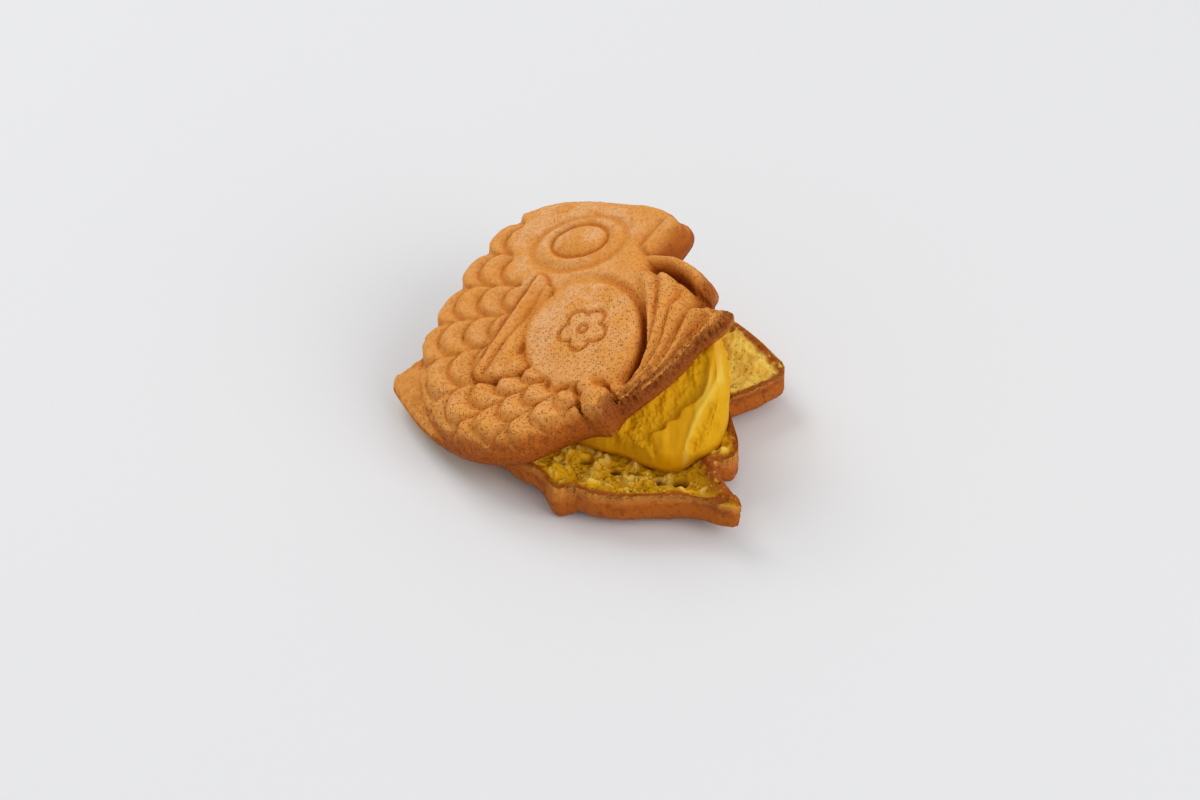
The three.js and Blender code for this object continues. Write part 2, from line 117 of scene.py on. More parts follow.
def smooth_curve(points: Points, count: int, closed: bool) -> np.ndarray:
    """Even samples along a centripetal curve through the points.

    Args:
        points: the curve's named corners.
        count: how many samples to give back.
        closed: whether the curve joins up with its own start.

    Returns:
        An array of count rows of two numbers.
    """
    p = np.array(points, float)
    n = len(p)
    if closed:
        ring = np.vstack([p[-1], p, p[0], p[1]])
    else:
        ring = np.vstack([2 * p[0] - p[1], p, 2 * p[-1] - p[-2]])
    spans = n if closed else n - 1
    dense = []
    for i in range(spans):
        p0, p1, p2, p3 = ring[i : i + 4]
        t1 = max(np.linalg.norm(p1 - p0), TINY) ** 0.5
        t2 = t1 + max(np.linalg.norm(p2 - p1), TINY) ** 0.5
        t3 = t2 + max(np.linalg.norm(p3 - p2), TINY) ** 0.5
        t = np.linspace(t1, t2, CURVE_STEPS, endpoint=False)[:, None]
        a1 = (t1 - t) / t1 * p0 + t / t1 * p1
        a2 = (t2 - t) / (t2 - t1) * p1 + (t - t1) / (t2 - t1) * p2
        a3 = (t3 - t) / (t3 - t2) * p2 + (t - t2) / (t3 - t2) * p3
        b1 = (t2 - t) / t2 * a1 + t / t2 * a2
        b2 = (t3 - t) / (t3 - t1) * a2 + (t - t1) / (t3 - t1) * a3
        dense.append((t2 - t) / (t2 - t1) * b1 + (t - t1) / (t2 - t1) * b2)
    line = np.vstack(dense + [p[:1] if closed else p[-1:]])
    run = np.r_[0, np.cumsum(np.linalg.norm(np.diff(line, axis=0), axis=1))]
    at = np.linspace(0, run[-1], count, endpoint=not closed)
    return np.c_[np.interp(at, run, line[:, 0]), np.interp(at, run, line[:, 1])]


def distance_to(line: np.ndarray, x: np.ndarray, y: np.ndarray, closed: bool = False) -> np.ndarray:
    """Distance from each point to a sampled line.

    Args:
        line: the samples, one row of two numbers each.
        x, y: the points.
        closed: whether the line joins up with its own start.

    Returns:
        One distance for each point.
    """
    ends = np.roll(line, -1, axis=0) if closed else line[1:]
    best = np.full(x.shape, np.inf)
    for (ax, ay), (bx, by) in zip(line, ends):
        dx, dy = bx - ax, by - ay
        along = np.clip(((x - ax) * dx + (y - ay) * dy) / (dx * dx + dy * dy + 1e-12), 0, 1)
        best = np.minimum(best, (x - ax - along * dx) ** 2 + (y - ay - along * dy) ** 2)
    return np.sqrt(best)


def depth_in(line: np.ndarray, x: np.ndarray, y: np.ndarray) -> np.ndarray:
    """Depth inside a closed sampled line.

    Args:
        line: the samples, one row of two numbers each.
        x, y: the points.

    Returns:
        One distance to the line for each point, negative outside.
    """
    inside = np.zeros(x.shape, bool)
    for (ax, ay), (bx, by) in zip(line, np.roll(line, -1, axis=0)):
        if ay != by:
            cross = (ay > y) != (by > y)
            inside ^= cross & (x < ax + (y - ay) / (by - ay) * (bx - ax))
    return distance_to(line, x, y, True) * np.where(inside, 1, -1)


def speckle(points: np.ndarray, size: float, seed: float, octaves: int = 2) -> np.ndarray:
    """Smooth noise.

    Args:
        points: rows of three numbers, in millimetres.
        size: how wide the lumps are, in millimetres.
        seed: which noise.
        octaves: how many finer layers are added up.

    Returns:
        One value from about -1 to 1 for each point.
    """
    shift = Vector((seed * 17.3, seed * 5.1, seed * 9.7))
    at = noise.fractal
    return np.array([at(Vector(p) / size + shift, NOISE_FALL, NOISE_STEP, octaves) for p in points])


def bubbles(points: np.ndarray, size: float, seed: float) -> np.ndarray:
    """Round pits, unevenly spread.

    Args:
        points: rows of three numbers, in millimetres.
        size: how far apart the pits are, in millimetres.
        seed: which spread.

    Returns:
        One value for each point, from 0 at a pit's edge to 1 in its middle.
    """
    shift = Vector((seed * 3.7, seed * 11.9, seed * 1.3))
    found = np.empty(len(points))
    for i, p in enumerate(points):
        near = noise.voronoi(Vector(p) / size + shift)
        share = (near[1][0].x * 7.31 + near[1][0].y * 3.17) % 1.0
        found[i] = max(0.0, 1 - near[0][0] / (BUBBLE_LEAST + BUBBLE_SPREAD * share))
    return found


@dataclass(frozen=True)
class Ellipse:
    """A turned ellipse on the flank of the fish."""

    centre: Pair
    radii: Pair
    turn: float = 0.0

    def place(self, u: np.ndarray, v: np.ndarray) -> np.ndarray:
        """Distance from the middle as a share of the radius.

        Args:
            u, v: places in the fish frame, in millimetres.

        Returns:
            One share for each place, 1 on the ellipse.
        """
        c, s = math.cos(math.radians(self.turn)), math.sin(math.radians(self.turn))
        du, dv = u - self.centre[0], v - self.centre[1]
        return np.hypot((du * c + dv * s) / self.radii[0], (-du * s + dv * c) / self.radii[1])


# ---------------------------------------------------------------- the moulded relief


@dataclass
class FishRelief:
    """Relief of one side of the fish in its own frame: u from tail to mouth, v from belly to back.

    Sizes are in millimetres and angles in degrees.
    """

    # Outlines, from above.
    body_edge: Points = field(default_factory=lambda: [
        (33, 14), (38.2, 18.6), (42.4, 22.2), (43.4, 27), (36, 37.4), (25.5, 48), (13, 55.8), (1, 57.3),
        (-10.3, 53), (-21, 45.8), (-30.6, 37.4), (-39.5, 28.5), (-44.5, 16.5), (-46, 4),
        (-44.3, -8), (-38.4, -16.8), (-30, -23.4), (-20, -27.3), (-5, -29.4), (8, -25.5),
        (20, -15), (28.5, -2),
    ])
    fan_edge: Points = field(default_factory=lambda: [
        (2, -27.5), (14.9, -26.9), (25.2, -23.4), (32.6, -19.2), (40.5, -17.3), (45.1, -12.9),
        (40.6, -7.6), (37.3, -1.6), (34, 4.5), (30, 10), (24, 8), (20.5, -3), (14, -16),
    ])
    snout_fold: Points = field(default_factory=lambda: [(30.5, 18.6), (36, 22.2), (41.5, 27)])
    fan_start: Points = field(default_factory=lambda: [
        (25, 11), (24.8, 3), (24, -4), (21.4, -11), (16.5, -17.4), (10, -21.6), (4, -24),
    ])
    fan_end: Points = field(default_factory=lambda: [
        (1, -29.5), (14.9, -26.9), (25.2, -23.4), (32.6, -19.2), (40.5, -17.3), (46.5, -13.5), (49.5, -7),
    ])
    leaf_edge: Points = field(default_factory=lambda: [
        (0.8, 25), (-4, 21.5), (-11, 16), (-18, 10), (-24, 5), (-28.5, 0.8), (-27, -2),
        (-22, -4.7), (-16, -5.8), (-10, -5), (-6, 0), (-3, 8), (1.6, 18),
    ])
    leaf_back: Points = field(default_factory=lambda: [
        (0.8, 25), (-4, 21.5), (-11, 16), (-18, 10), (-24, 5), (-29, 0.5),
    ])
    lower_lip: Points = field(default_factory=lambda: [
        (30.5, 14), (35.2, 10.6), (38.4, 5.5), (40.6, 0), (41, -3.6),
    ])
    upper_lip: Points = field(default_factory=lambda: [(31.6, 16.9), (41, 22)])
    # Eye and orbit.
    eye: Ellipse = Ellipse((15, 30.3), (8.5, 6), -25)
    orbit: Ellipse = Ellipse((14.3, 29.6), (13.8, 9.6), -22)
    eye_dome: float = 3.0
    eye_groove: float = 0.9
    orbit_dish: float = 0.5
    orbit_ring: float = 0.9
    orbit_groove: float = 0.7
    # Knob at the belly: a bead with a smaller one at its head.
    knob: Ellipse = Ellipse((0.3, -27), (4.6, 6.6), 4)
    knob_head: Ellipse = Ellipse((-0.6, -21.8), (2.6, 2.4))
    knob_top: float = 13.4
    knob_head_top: float = 13.9
    knob_carve: float = 2.2
    # Step behind the gill.
    gill_centre: Pair = (18.5, 30)
    gill_radius: float = 24.2
    gill_step: float = 1.5
    # Pleated fan; its edge is thicker at the knob than at the chin.
    pleats: int = 5
    pleat_lift: float = 2.1
    fan_edge_heights: Pair = (5.4, 2.8)
    fan_top: float = 12.6
    fan_shoulder: float = 1.8
    # Scales: rows on rays from the hub, each row shifted by a share of a scale.
    scale_hub: Pair = (49, -14)
    scale_length: float = 8.0
    scale_bulge: float = 0.45
    scale_lift: float = 2.8
    row_angles: tuple[float, ...] = (-29, -22, -15, -8.5, -2, 5, 14.5, 23, 31.5, 40.5, 49, 58)
    row_shifts: tuple[float, ...] = (0.4, 0.9, 0.5, 0.15, 0.05, 0.8, 0.45, 0.9, 0.6, 0.1, 0.7, 0.2)
    # Leaf-shaped fin.
    leaf_rise: float = 1.1
    leaf_drop: float = 2.8
    leaf_groove: float = 1.3
    leaf_sink: float = 2.2
    # Plaque, its moat and its ornament.
    plaque: Ellipse = Ellipse((4.6, -3.2), (17, 19))
    plaque_rise: float = 0.7
    plaque_dome: float = 1.2
    moat_depths: Pair = (0.8, 1.6)
    blossom_centre: Pair = (5.5, -3.5)
    blossom_radius: float = 7.5
    blossom_turn: float = 0.35
    blossom_depth: float = 1.15
    blossom_line: float = 0.62
    petal_waist: float = 0.66
    heart_share: float = 0.18
    heart_line: float = 0.5
    # Snout and lips.
    snout_groove: float = 0.5
    lower_lip_top: float = 10.8
    lower_lip_reach: float = 3.2
    upper_lip_top: float = 13.0
    upper_lip_reach: float = 2.7

    def __post_init__(self) -> None:
        """Sample the named outlines once."""
        self.body_line = smooth_curve(self.body_edge, 160, True)
        self.fan_line = smooth_curve(self.fan_edge, 160, True)
        self.leaf_line = smooth_curve(self.leaf_edge, 120, True)
        self.snout_line = smooth_curve(self.snout_fold, 6, False)
        self.fan_start_line = smooth_curve(self.fan_start, 40, False)
        self.fan_end_line = smooth_curve(self.fan_end, 40, False)
        self.leaf_back_line = smooth_curve(self.leaf_back, 16, False)
        self.lower_lip_line = smooth_curve(self.lower_lip, 12, False)
        self.upper_lip_line = smooth_curve(self.upper_lip, 6, False)

    def scales(self, u: np.ndarray, v: np.ndarray) -> np.ndarray:
        """Rows of rounded scales that fan out from the chin, their free edges towards the tail.

        Args:
            u, v: places in the fish frame, in millimetres.

        Returns:
            The lift of each place over the flank.
        """
        du, dv = self.scale_hub[0] - u, v - self.scale_hub[1]
        row = np.interp(np.degrees(np.arctan2(dv, du)), self.row_angles, np.arange(len(self.row_angles)))
        nearest = np.round(row).astype(int)
        across = row - nearest
        shift = np.array(self.row_shifts)[nearest]
        along = shift + self.scale_bulge * (1 - 4 * across * across) - np.hypot(du, dv) / self.scale_length
        place = along - np.floor(along)
        crest = np.sqrt(np.maximum(1 - (2 * np.abs(across)) ** 2.6 * 0.96, 0))
        pillow = ramp(place, 0, 0.4) * (1 - 0.85 * (np.maximum(place - 0.3, 0) / 0.7) ** 1.6)
        return self.scale_lift * crest * (0.15 + 0.85 * pillow)

    def fan(self, u: np.ndarray, v: np.ndarray, rim: np.ndarray) -> np.ndarray:
        """Pleated fin that spreads from the belly knob towards the chin and thins towards its edge.

        Args:
            u, v: places in the fish frame, in millimetres.
            rim: depth of each place inside the outline.

        Returns:
            One height for each place, 0 off the fin.
        """
        near, far = distance_to(self.fan_start_line, u, v), distance_to(self.fan_end_line, u, v)
        phase = self.pleats * near / (near + far)
        groove = np.abs(2 * (phase - np.floor(phase)) - 1)
        edge = mix(*self.fan_edge_heights, ramp(u, 8, 36))
        plate = mix(edge, self.fan_top, ramp(rim, 0.2, 12) ** 0.75)
        rise = self.pleat_lift * (0.45 - groove**2.0) * mix(0.45, 1.0, ramp(near + far, 4, 20))
        return (plate + rise * ramp(rim, 0, 2)) * shoulder(depth_in(self.fan_line, u, v), self.fan_shoulder)

    def bead(self, shape: Ellipse, top: float, u: np.ndarray, v: np.ndarray) -> np.ndarray:
        """Height of a rounded bead, 0 off it."""
        reach = shape.place(u, v)
        return np.where(reach < 1, top - shape.radii[0] * (1 - np.sqrt(np.maximum(1 - reach * reach, 0))), 0)

    def eye_lift(self, u: np.ndarray, v: np.ndarray) -> np.ndarray:
        """Domed eye in its groove, with a ring around it.

        Args:
            u, v: places in the fish frame, in millimetres.

        Returns:
            The lift of each place over the head.
        """
        eye, orbit = self.eye.place(u, v), self.orbit.place(u, v)
        dome = self.eye_dome * np.sqrt(np.maximum(1 - eye * eye, 0)) - self.eye_groove
        ball = np.where(eye < 1, dome, -self.eye_groove * bell(eye - 1, 0.08))
        dish = -self.orbit_dish * (1 - ramp(orbit, 0.95, 1.3))
        ring = self.orbit_ring * bell(eye - 1.32, 0.22)
        return ball + dish + ring - self.orbit_groove * bell(orbit - 1.05, 0.1)

    def blossom(self, u: np.ndarray, v: np.ndarray) -> np.ndarray:
        """Plain five-petal ornament pressed into the plaque.

        Args:
            u, v: places in the fish frame, in millimetres.

        Returns:
            The depth of the ornament's lines at each place.
        """
        du, dv = u - self.blossom_centre[0], v - self.blossom_centre[1]
        reach = np.hypot(du, dv) / self.blossom_radius
        angle = np.arctan2(dv, du) - self.blossom_turn
        petal = self.petal_waist + (1 - self.petal_waist) * np.abs(np.cos(2.5 * angle)) ** 0.8
        outline = bell((reach - petal) * self.blossom_radius, self.blossom_line)
        heart = bell((reach - self.heart_share) * self.blossom_radius, self.heart_line)
        return self.blossom_depth * np.maximum(outline, heart)

    def with_leaf(self, body: np.ndarray, u: np.ndarray, v: np.ndarray, plaque: np.ndarray) -> np.ndarray:
        """Lay the folded, leaf-shaped fin over the body.

        Args:
            body: height of each place so far.
            u, v: places in the fish frame, in millimetres.
            plaque: each place's distance from the plaque's middle, as a share of its radius.

        Returns:
            The heights with the fin.
        """
        leaf = depth_in(self.leaf_line, u, v)
        across = distance_to(self.leaf_back_line, u, v)
        folds = 0.7 * bell(across - 1.7, 1.2) - 1.1 * bell(across - 4.0, 0.7) + 0.6 * bell(across - 7.2, 2.0)
        under_plaque = self.leaf_sink * (1 - ramp(plaque, 1.0, 1.3))
        top = FLANK_TOP + self.leaf_rise + folds - 0.8 * bell(across - 9.4, 0.7)
        top = top - self.leaf_drop * (1 - shoulder(leaf, 2.2)) - under_plaque
        body = body - self.leaf_groove * bell(leaf, 1.0) * (leaf <= 0)
        return mix(body, top, ramp(leaf, -0.2, 0.7))

    def with_plaque(self, body: np.ndarray, u: np.ndarray, v: np.ndarray, plaque: np.ndarray) -> np.ndarray:
        """Set the raised plaque and its moat into the body.

        Args:
            body: height of each place so far.
            u, v: places in the fish frame, in millimetres.
            plaque: each place's distance from the plaque's middle, as a share of its radius.

        Returns:
            The heights with the plaque.
        """
        front = ramp(u - 0.7 * v, 0, 18)
        moat = mix(*self.moat_depths, front) * ramp(plaque, 0.95, 1.04) * (1 - ramp(plaque, 1.05, 1.18))
        top = FLANK_TOP + self.plaque_rise - self.plaque_dome * plaque * plaque
        return mix(top, body, ramp(plaque, 0.96, 1.05)) - moat

    def lips(self, u: np.ndarray, v: np.ndarray) -> np.ndarray:
        """Rounded bars of the two lips.

        Args:
            u, v: places in the fish frame, in millimetres.

        Returns:
            One height for each place, 0 off the lips.
        """
        low, high = self.lower_lip_reach, self.upper_lip_reach
        below = self.lower_lip_top * shoulder(low - distance_to(self.lower_lip_line, u, v), low, 2)
        above = self.upper_lip_top * shoulder(high - distance_to(self.upper_lip_line, u, v), high, 2.6)
        return np.maximum(below, above)

    def height(self, u: np.ndarray, v: np.ndarray, rim: np.ndarray, depth: np.ndarray, width: Amount,
               fullness: float, ornament: bool) -> np.ndarray:
        """Height over the parting plane.

        Args:
            u, v: places in the fish frame, in millimetres.
            rim: depth of each place inside the outline.
            depth: depth of each place inside the body's wall.
            width: width of the rounded shoulder.
            fullness: how square the shoulder is.
            ornament: whether the plaque bears its ornament.

        Returns:
            One height for each place.
        """
        past_gill = np.hypot(u - self.gill_centre[0], v - self.gill_centre[1]) - self.gill_radius
        behind = ramp(past_gill, -0.4, 0.8) * ramp(-u, -8, 0)
        scales = self.scales(u, v)
        wavy = depth + behind * ramp(depth, 0, 1) * (0.45 * scales - 0.6)
        body = BODY_HEIGHT * shoulder(wavy, width, fullness) + BODY_CROWN * shoulder(depth, 30, 1.6)
        body = body + behind * ramp(depth, 0.2, 3) * (scales - self.gill_step - 0.6)
        body = body + (1 - behind) * self.eye_lift(u, v) * ramp(depth, 1, 4)

        plaque = self.plaque.place(u, v)
        body = self.with_plaque(self.with_leaf(body, u, v, plaque), u, v, plaque)
        if ornament:
            body = body - self.blossom(u, v)

        fan = self.fan(u, v, rim) * ramp(plaque, 1.0, 1.16)
        knob = self.knob.place(u, v)
        carve = self.knob_carve * (1 - ramp(knob, 1.0, 1.32)) * (1 - ramp(v, -25, -20)) * ramp(rim, 1, 4)
        body, fan = body - carve, fan - carve
        head = self.bead(self.knob_head, self.knob_head_top, u, v)
        ball = soft_max(head, self.bead(self.knob, self.knob_top, u, v), 1.0)
        snout = ramp(u, 27, 31)
        body = body - self.snout_groove * snout * bell(distance_to(self.snout_line, u, v), 1.5)
        return soft_max(soft_max(soft_max(body, fan, 0.8), ball, 0.6), self.lips(u, v), 0.8)


# ---------------------------------------------------------------- where the halves lie


@dataclass(frozen=True)
class LeaningPlane:
    """Parting plane of the upper half, which leans on the lower half and the filling."""

    lean_side: float = 21.0
    lean_front: float = 8.0
    turn: float = 15.0
    origin: Triple = (-5.7, -10.3, 24.3)

    def axes(self) -> tuple[np.ndarray, np.ndarray, np.ndarray]:
        """Work out the plane's own directions.

        Returns:
            Unit vectors of u, v and the way out of the plane.
        """
        across = -math.sin(math.radians(self.lean_side))
        front = -math.sin(math.radians(self.lean_front))
        out = np.array([across, front, math.sqrt(1 - across * across - front * front)])
        level = np.array([out[2], 0, -out[0]]) / math.hypot(out[2], out[0])
        deep = np.cross(out, level)
        c, s = math.cos(math.radians(self.turn)), math.sin(math.radians(self.turn))
        return level * c + deep * s, deep * c - level * s, out

    def place(self, u: np.ndarray, v: np.ndarray, w: np.ndarray) -> np.ndarray:
        """Points over the table of places in the fish frame."""
        axis_u, axis_v, out = self.axes()
        return np.array(self.origin) + np.outer(u, axis_u) + np.outer(v, axis_v) + np.outer(w, out)

    def height(self, x: np.ndarray, y: np.ndarray, w: Amount = 0.0) -> np.ndarray:
        """Height over the table of the plane.

        Args:
            x, y: points on the table, in millimetres.
            w: how far the plane is lifted along its own way out.

        Returns:
            One height for each point.
        """
        out = self.axes()[2]
        ox, oy, oz = self.origin
        return oz + (w - out[0] * (x - ox) - out[1] * (y - oy)) / out[2]

    def shadow(self, x: np.ndarray, y: np.ndarray, z: np.ndarray) -> tuple[np.ndarray, np.ndarray]:
        """Fish-frame places under points over the table.

        Args:
            x, y, z: the points, in millimetres.

        Returns:
            The u and the v of each point.
        """
        axis_u, axis_v, _ = self.axes()
        offset = np.c_[x, y, z] - np.array(self.origin)
        return offset @ axis_u, offset @ axis_v


@dataclass(frozen=True)
class LyingPlane:
    """Level parting plane of the lower half."""

    turn: float = -21.0
    origin: Pair = (1.0, -22.5)

    def spot(self, u: np.ndarray, v: np.ndarray) -> tuple[np.ndarray, np.ndarray]:
        """Table point under a place in the fish frame."""
        c, s = math.cos(math.radians(self.turn)), math.sin(math.radians(self.turn))
        return self.origin[0] + u * c - v * s, self.origin[1] + u * s + v * c

    def place(self, x: np.ndarray, y: np.ndarray) -> tuple[np.ndarray, np.ndarray]:
        """Place in the fish frame over a table point.

        Args:
            x, y: points on the table, in millimetres.

        Returns:
            The u and the v of each point.
        """
        c, s = math.cos(math.radians(self.turn)), math.sin(math.radians(self.turn))
        dx, dy = x - self.origin[0], y - self.origin[1]
        return dx * c + dy * s, -dx * s + dy * c


RELIEF = FishRelief()
LEANING = LeaningPlane()
LYING = LyingPlane()


# ---------------------------------------------------------------- mesh from a welded pair of grids


class Lattice:
    """Two square grids, one over the other, welded round their border into one closed skin."""

    def __init__(self, cells: int) -> None:
        """Make the skin, with the upper grid twice as fine as the lower one.

        Args:
            cells: cells along each side of the lower grid.
        """
        self.bm = bmesh.new()
        bmesh.ops.create_grid(self.bm, x_segments=cells, y_segments=cells, size=1)
        copy = bmesh.ops.duplicate(self.bm, geom=self.bm.verts[:] + self.bm.edges[:] + self.bm.faces[:])
        under = set(copy["geom"])
        bmesh.ops.reverse_faces(self.bm, faces=[f for f in under if isinstance(f, bmesh.types.BMFace)])
        for vert in self.bm.verts:
            if max(abs(vert.co.x), abs(vert.co.y)) < 1 - WELD:
                vert.co.z = -1 if vert in under else 1
        bmesh.ops.remove_doubles(self.bm, verts=self.bm.verts[:], dist=WELD)
        over = [f for f in self.bm.faces if f.normal.z > 0 or f.calc_center_median().z > 0]
        edges = {e for f in over for e in f.edges}
        bmesh.ops.subdivide_edges(self.bm, edges=list(edges), cuts=1, use_grid_fill=True)
        for face in self.bm.faces:
            face.smooth = True
            face.material_index = 0 if face.calc_center_median().z > 0 else 1
        self.bm.verts.ensure_lookup_table()
        place = np.array([v.co[:] for v in self.bm.verts])
        self.x, self.y = place[:, 0], place[:, 1]
        self.over = place[:, 2] > TINY
        self.ring = np.minimum(np.maximum(np.abs(self.x), np.abs(self.y)), 1.0)

    def spread(self, edge: np.ndarray, centre: Pair, packing: float) -> tuple[np.ndarray, np.ndarray]:
        """Lay the square rings of the grids over an outline.

        Args:
            edge: even samples along the closed outline.
            centre: the point that the rings shrink to.
            packing: how much closer the rings lie towards the edge.

        Returns:
            The two coordinates of each vertex.
        """
        r = np.where(self.ring > 0, self.ring, 1)
        x, y = self.x / r, self.y / r
        sides = [x >= 1 - TINY, y >= 1 - TINY, x <= TINY - 1]
        side = np.select(sides, [1 + y, 3 - x, 5 - y], 7 + x)
        turn = (side / 8) % 1.0 * len(edge)
        low = np.floor(turn).astype(int) % len(edge)
        part = (turn - np.floor(turn))[:, None]
        rim = edge[low] * (1 - part) + edge[(low + 1) % len(edge)] * part
        reach = (1 - (1 - self.ring) ** packing)[:, None]
        place = np.array(centre) * (1 - reach) + rim * reach
        return place[:, 0], place[:, 1]

    def mesh(self, name: str, points: np.ndarray) -> bpy.types.Mesh:
        """Mesh of the skin with its vertices moved.

        Args:
            name: the mesh's name.
            points: each vertex's place in millimetres, before the shift to the middle.

        Returns:
            The mesh, in metres.
        """
        mesh = bpy.data.meshes.new(name)
        self.bm.to_mesh(mesh)
        self.bm.free()
        move(mesh, points)
        return mesh


def move(mesh: bpy.types.Mesh, points: np.ndarray) -> None:
    """Put a mesh's vertices at points given in millimetres before the shift to the middle."""
    mesh.vertices.foreach_set("co", ((points + CENTRE_SHIFT) * MM).astype(np.float32).ravel())
    mesh.update()


def normals_of(mesh: bpy.types.Mesh) -> np.ndarray:
    """Unit normals of a mesh's vertices.

    Args:
        mesh: the mesh.

    Returns:
        A row of three numbers for each vertex.
    """
    normals = np.empty(len(mesh.vertices) * 3, np.float32)
    mesh.vertex_normals.foreach_get("vector", normals)
    return normals.reshape(-1, 3).astype(float)


def note(mesh: bpy.types.Mesh, name: str, values: np.ndarray) -> None:
    """Keep a value from 0 to 1 at each vertex for the materials to read."""
    layer = mesh.attributes.new(name, "FLOAT", "POINT")
    layer.data.foreach_set("value", np.clip(values, 0, 1).astype(np.float32))


def within(points: np.ndarray, node: str, proud: float = 0.0) -> np.ndarray:
    """Hold points inside a CAD node's box, in millimetres before the shift to the middle.

    Args:
        points: rows of three numbers.
        node: the CAD node's name.
        proud: how far the points may stand over the box's top.

    Returns:
        The points, moved onto the box where they were outside.
    """
    low, high = (np.array(corner) / MM - CENTRE_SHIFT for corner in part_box(node))
    return np.clip(points, low + BOX_CLEARANCE, high + [0, 0, proud] - BOX_CLEARANCE)


def piece(name: str, mesh: bpy.types.Mesh, materials: list[bpy.types.Material]) -> bpy.types.Object:
    """Make an object of a mesh and link it into the scene.

    Args:
        name: the object's name.
        mesh: its mesh.
        materials: what its faces' material numbers stand for.

    Returns:
        The object.
    """
    made = bpy.data.objects.new(name, mesh)
    bpy.context.scene.collection.objects.link(made)
    for material in materials:
        mesh.materials.append(material)
    return made


class Raster:
    """Heights over a regular field of places, for smoothing and for reading hollows."""

    def __init__(self, heights: np.ndarray, low: Pair, step: float) -> None:
        """Keep the heights with the place of their first corner and their spacing."""
        self.heights, self.low, self.step = heights, low, step

    def blurred(self, width: float) -> "Raster":
        """Smooth the field.

        Args:
            width: how far the smoothing reaches, in millimetres.

        Returns:
            A new field on the same places.
        """
        reach = int(3 * width / self.step)
        weights = np.exp(-0.5 * (np.arange(-reach, reach + 1) * self.step / width) ** 2)
        weights /= weights.sum()
        soft = self.heights
        for axis in (0, 1):
            pad = [(0, 0), (0, 0)]
            pad[axis] = (reach, reach)
            wide = np.pad(soft, pad, mode="edge")
            soft = np.apply_along_axis(np.convolve, axis, wide, weights, "valid")
        return Raster(soft, self.low, self.step)

    def read(self, u: np.ndarray, v: np.ndarray) -> np.ndarray:
        """Height at places between the samples.

        Args:
            u, v: the places, in the field's own units.

        Returns:
            One height for each place.
        """
        a = np.clip((u - self.low[0]) / self.step, 0, self.heights.shape[0] - 1.001)
        b = np.clip((v - self.low[1]) / self.step, 0, self.heights.shape[1] - 1.001)
        i, j = a.astype(int), b.astype(int)
        a, b = a - i, b - j
        h = self.heights
        near = h[i, j] * (1 - a) + h[i + 1, j] * a
        far = h[i, j + 1] * (1 - a) + h[i + 1, j + 1] * a
        return near * (1 - b) + far * b


def hollows(height: Callable[[np.ndarray, np.ndarray], np.ndarray], low: Pair, high: Pair,
            widths: tuple[float, ...]) -> list[Raster]:
    """How far the surface lies below its surroundings.

    Args:
        height: function of two arrays that gives the relief.
        low, high: corners of the field.
        widths: how wide a hollow has to be to count, for each field that is wanted.

    Returns:
        Fields of depths, positive in a hollow.
    """
    step = 0.5
    u, v = np.meshgrid(np.arange(low[0], high[0], step), np.arange(low[1], high[1], step), indexing="ij")
    relief = Raster(height(u.ravel(), v.ravel()).reshape(u.shape), low, step)
    return [Raster(relief.blurred(width).heights - relief.heights, low, step) for width in widths]


# ---------------------------------------------------------------- finishes


class Effect(Enum):
    """Shader effects that several finishes share."""

    PITS = "pits"
    MOTTLE = "mottle"


LARGEST_PIT, PIT_SLOPE = 0.42, 0.16
CLOUD_LOW, CLOUD_HIGH = 0.32, 0.68


def feed(tree: bpy.types.NodeTree, value: Socket | float, put: Socket) -> None:
    """Link a socket into an input, or set the input to a number.

    Args:
        tree: the node tree of both.
        value: the socket or number.
        put: the input.
    """
    if isinstance(value, Socket):
        tree.links.new(value, put)
    else:
        put.default_value = value


def sum_of(tree: bpy.types.NodeTree, operation: str, a: Socket | float, b: Socket | float,
           clamp: bool = True) -> Socket:
    """Add a Math node.

    Args:
        tree: where it goes.
        operation: the node's operation.
        a, b: its two inputs.
        clamp: whether the result is held between 0 and 1.

    Returns:
        The result.
    """
    node = tree.nodes.new("ShaderNodeMath")
    node.operation, node.use_clamp = operation, clamp
    feed(tree, a, node.inputs[0])
    feed(tree, b, node.inputs[1])
    return node.outputs[0]


def step_of(tree: bpy.types.NodeTree, value: Socket, low: float, high: float, top: Socket | float = 1.0,
            kind: str = "SMOOTHSTEP") -> Socket:
    """Add a Map Range node that starts from 0.

    Args:
        tree: where it goes.
        value: what it reads.
        low, high: the values that give 0 and the top.
        top: the largest result.
        kind: how it runs from one to the other.

    Returns:
        The result.
    """
    node = tree.nodes.new("ShaderNodeMapRange")
    node.interpolation_type = kind
    for name, number in (("From Min", low), ("From Max", high), ("To Max", top)):
        feed(tree, number, node.inputs[name])
    tree.links.new(value, node.inputs["Value"])
    return node.outputs[0]


def pits(tree: bpy.types.NodeTree, place: Socket, scale: Socket, amount: Socket) -> Socket:
    """Small round bubbles in some of the cells of a Voronoi pattern.

    Args:
        tree: the effect's node group.
        place: where on the piece.
        scale: how many cells go into a metre.
        amount: the share of cells with a bubble.

    Returns:
        The depth, from 0 to 1.
    """
    cells = tree.nodes.new("ShaderNodeTexVoronoi")
    tree.links.new(place, cells.inputs["Vector"])
    tree.links.new(scale, cells.inputs["Scale"])
    chance = tree.nodes.new("ShaderNodeSeparateColor")
    tree.links.new(cells.outputs["Color"], chance.inputs[0])
    kept = sum_of(tree, "SUBTRACT", amount, chance.outputs[0])
    reach = step_of(tree, kept, 0.0, 0.5, LARGEST_PIT, "LINEAR")
    inside = sum_of(tree, "SUBTRACT", reach, cells.outputs["Distance"])
    return step_of(tree, inside, 0.0, PIT_SLOPE)


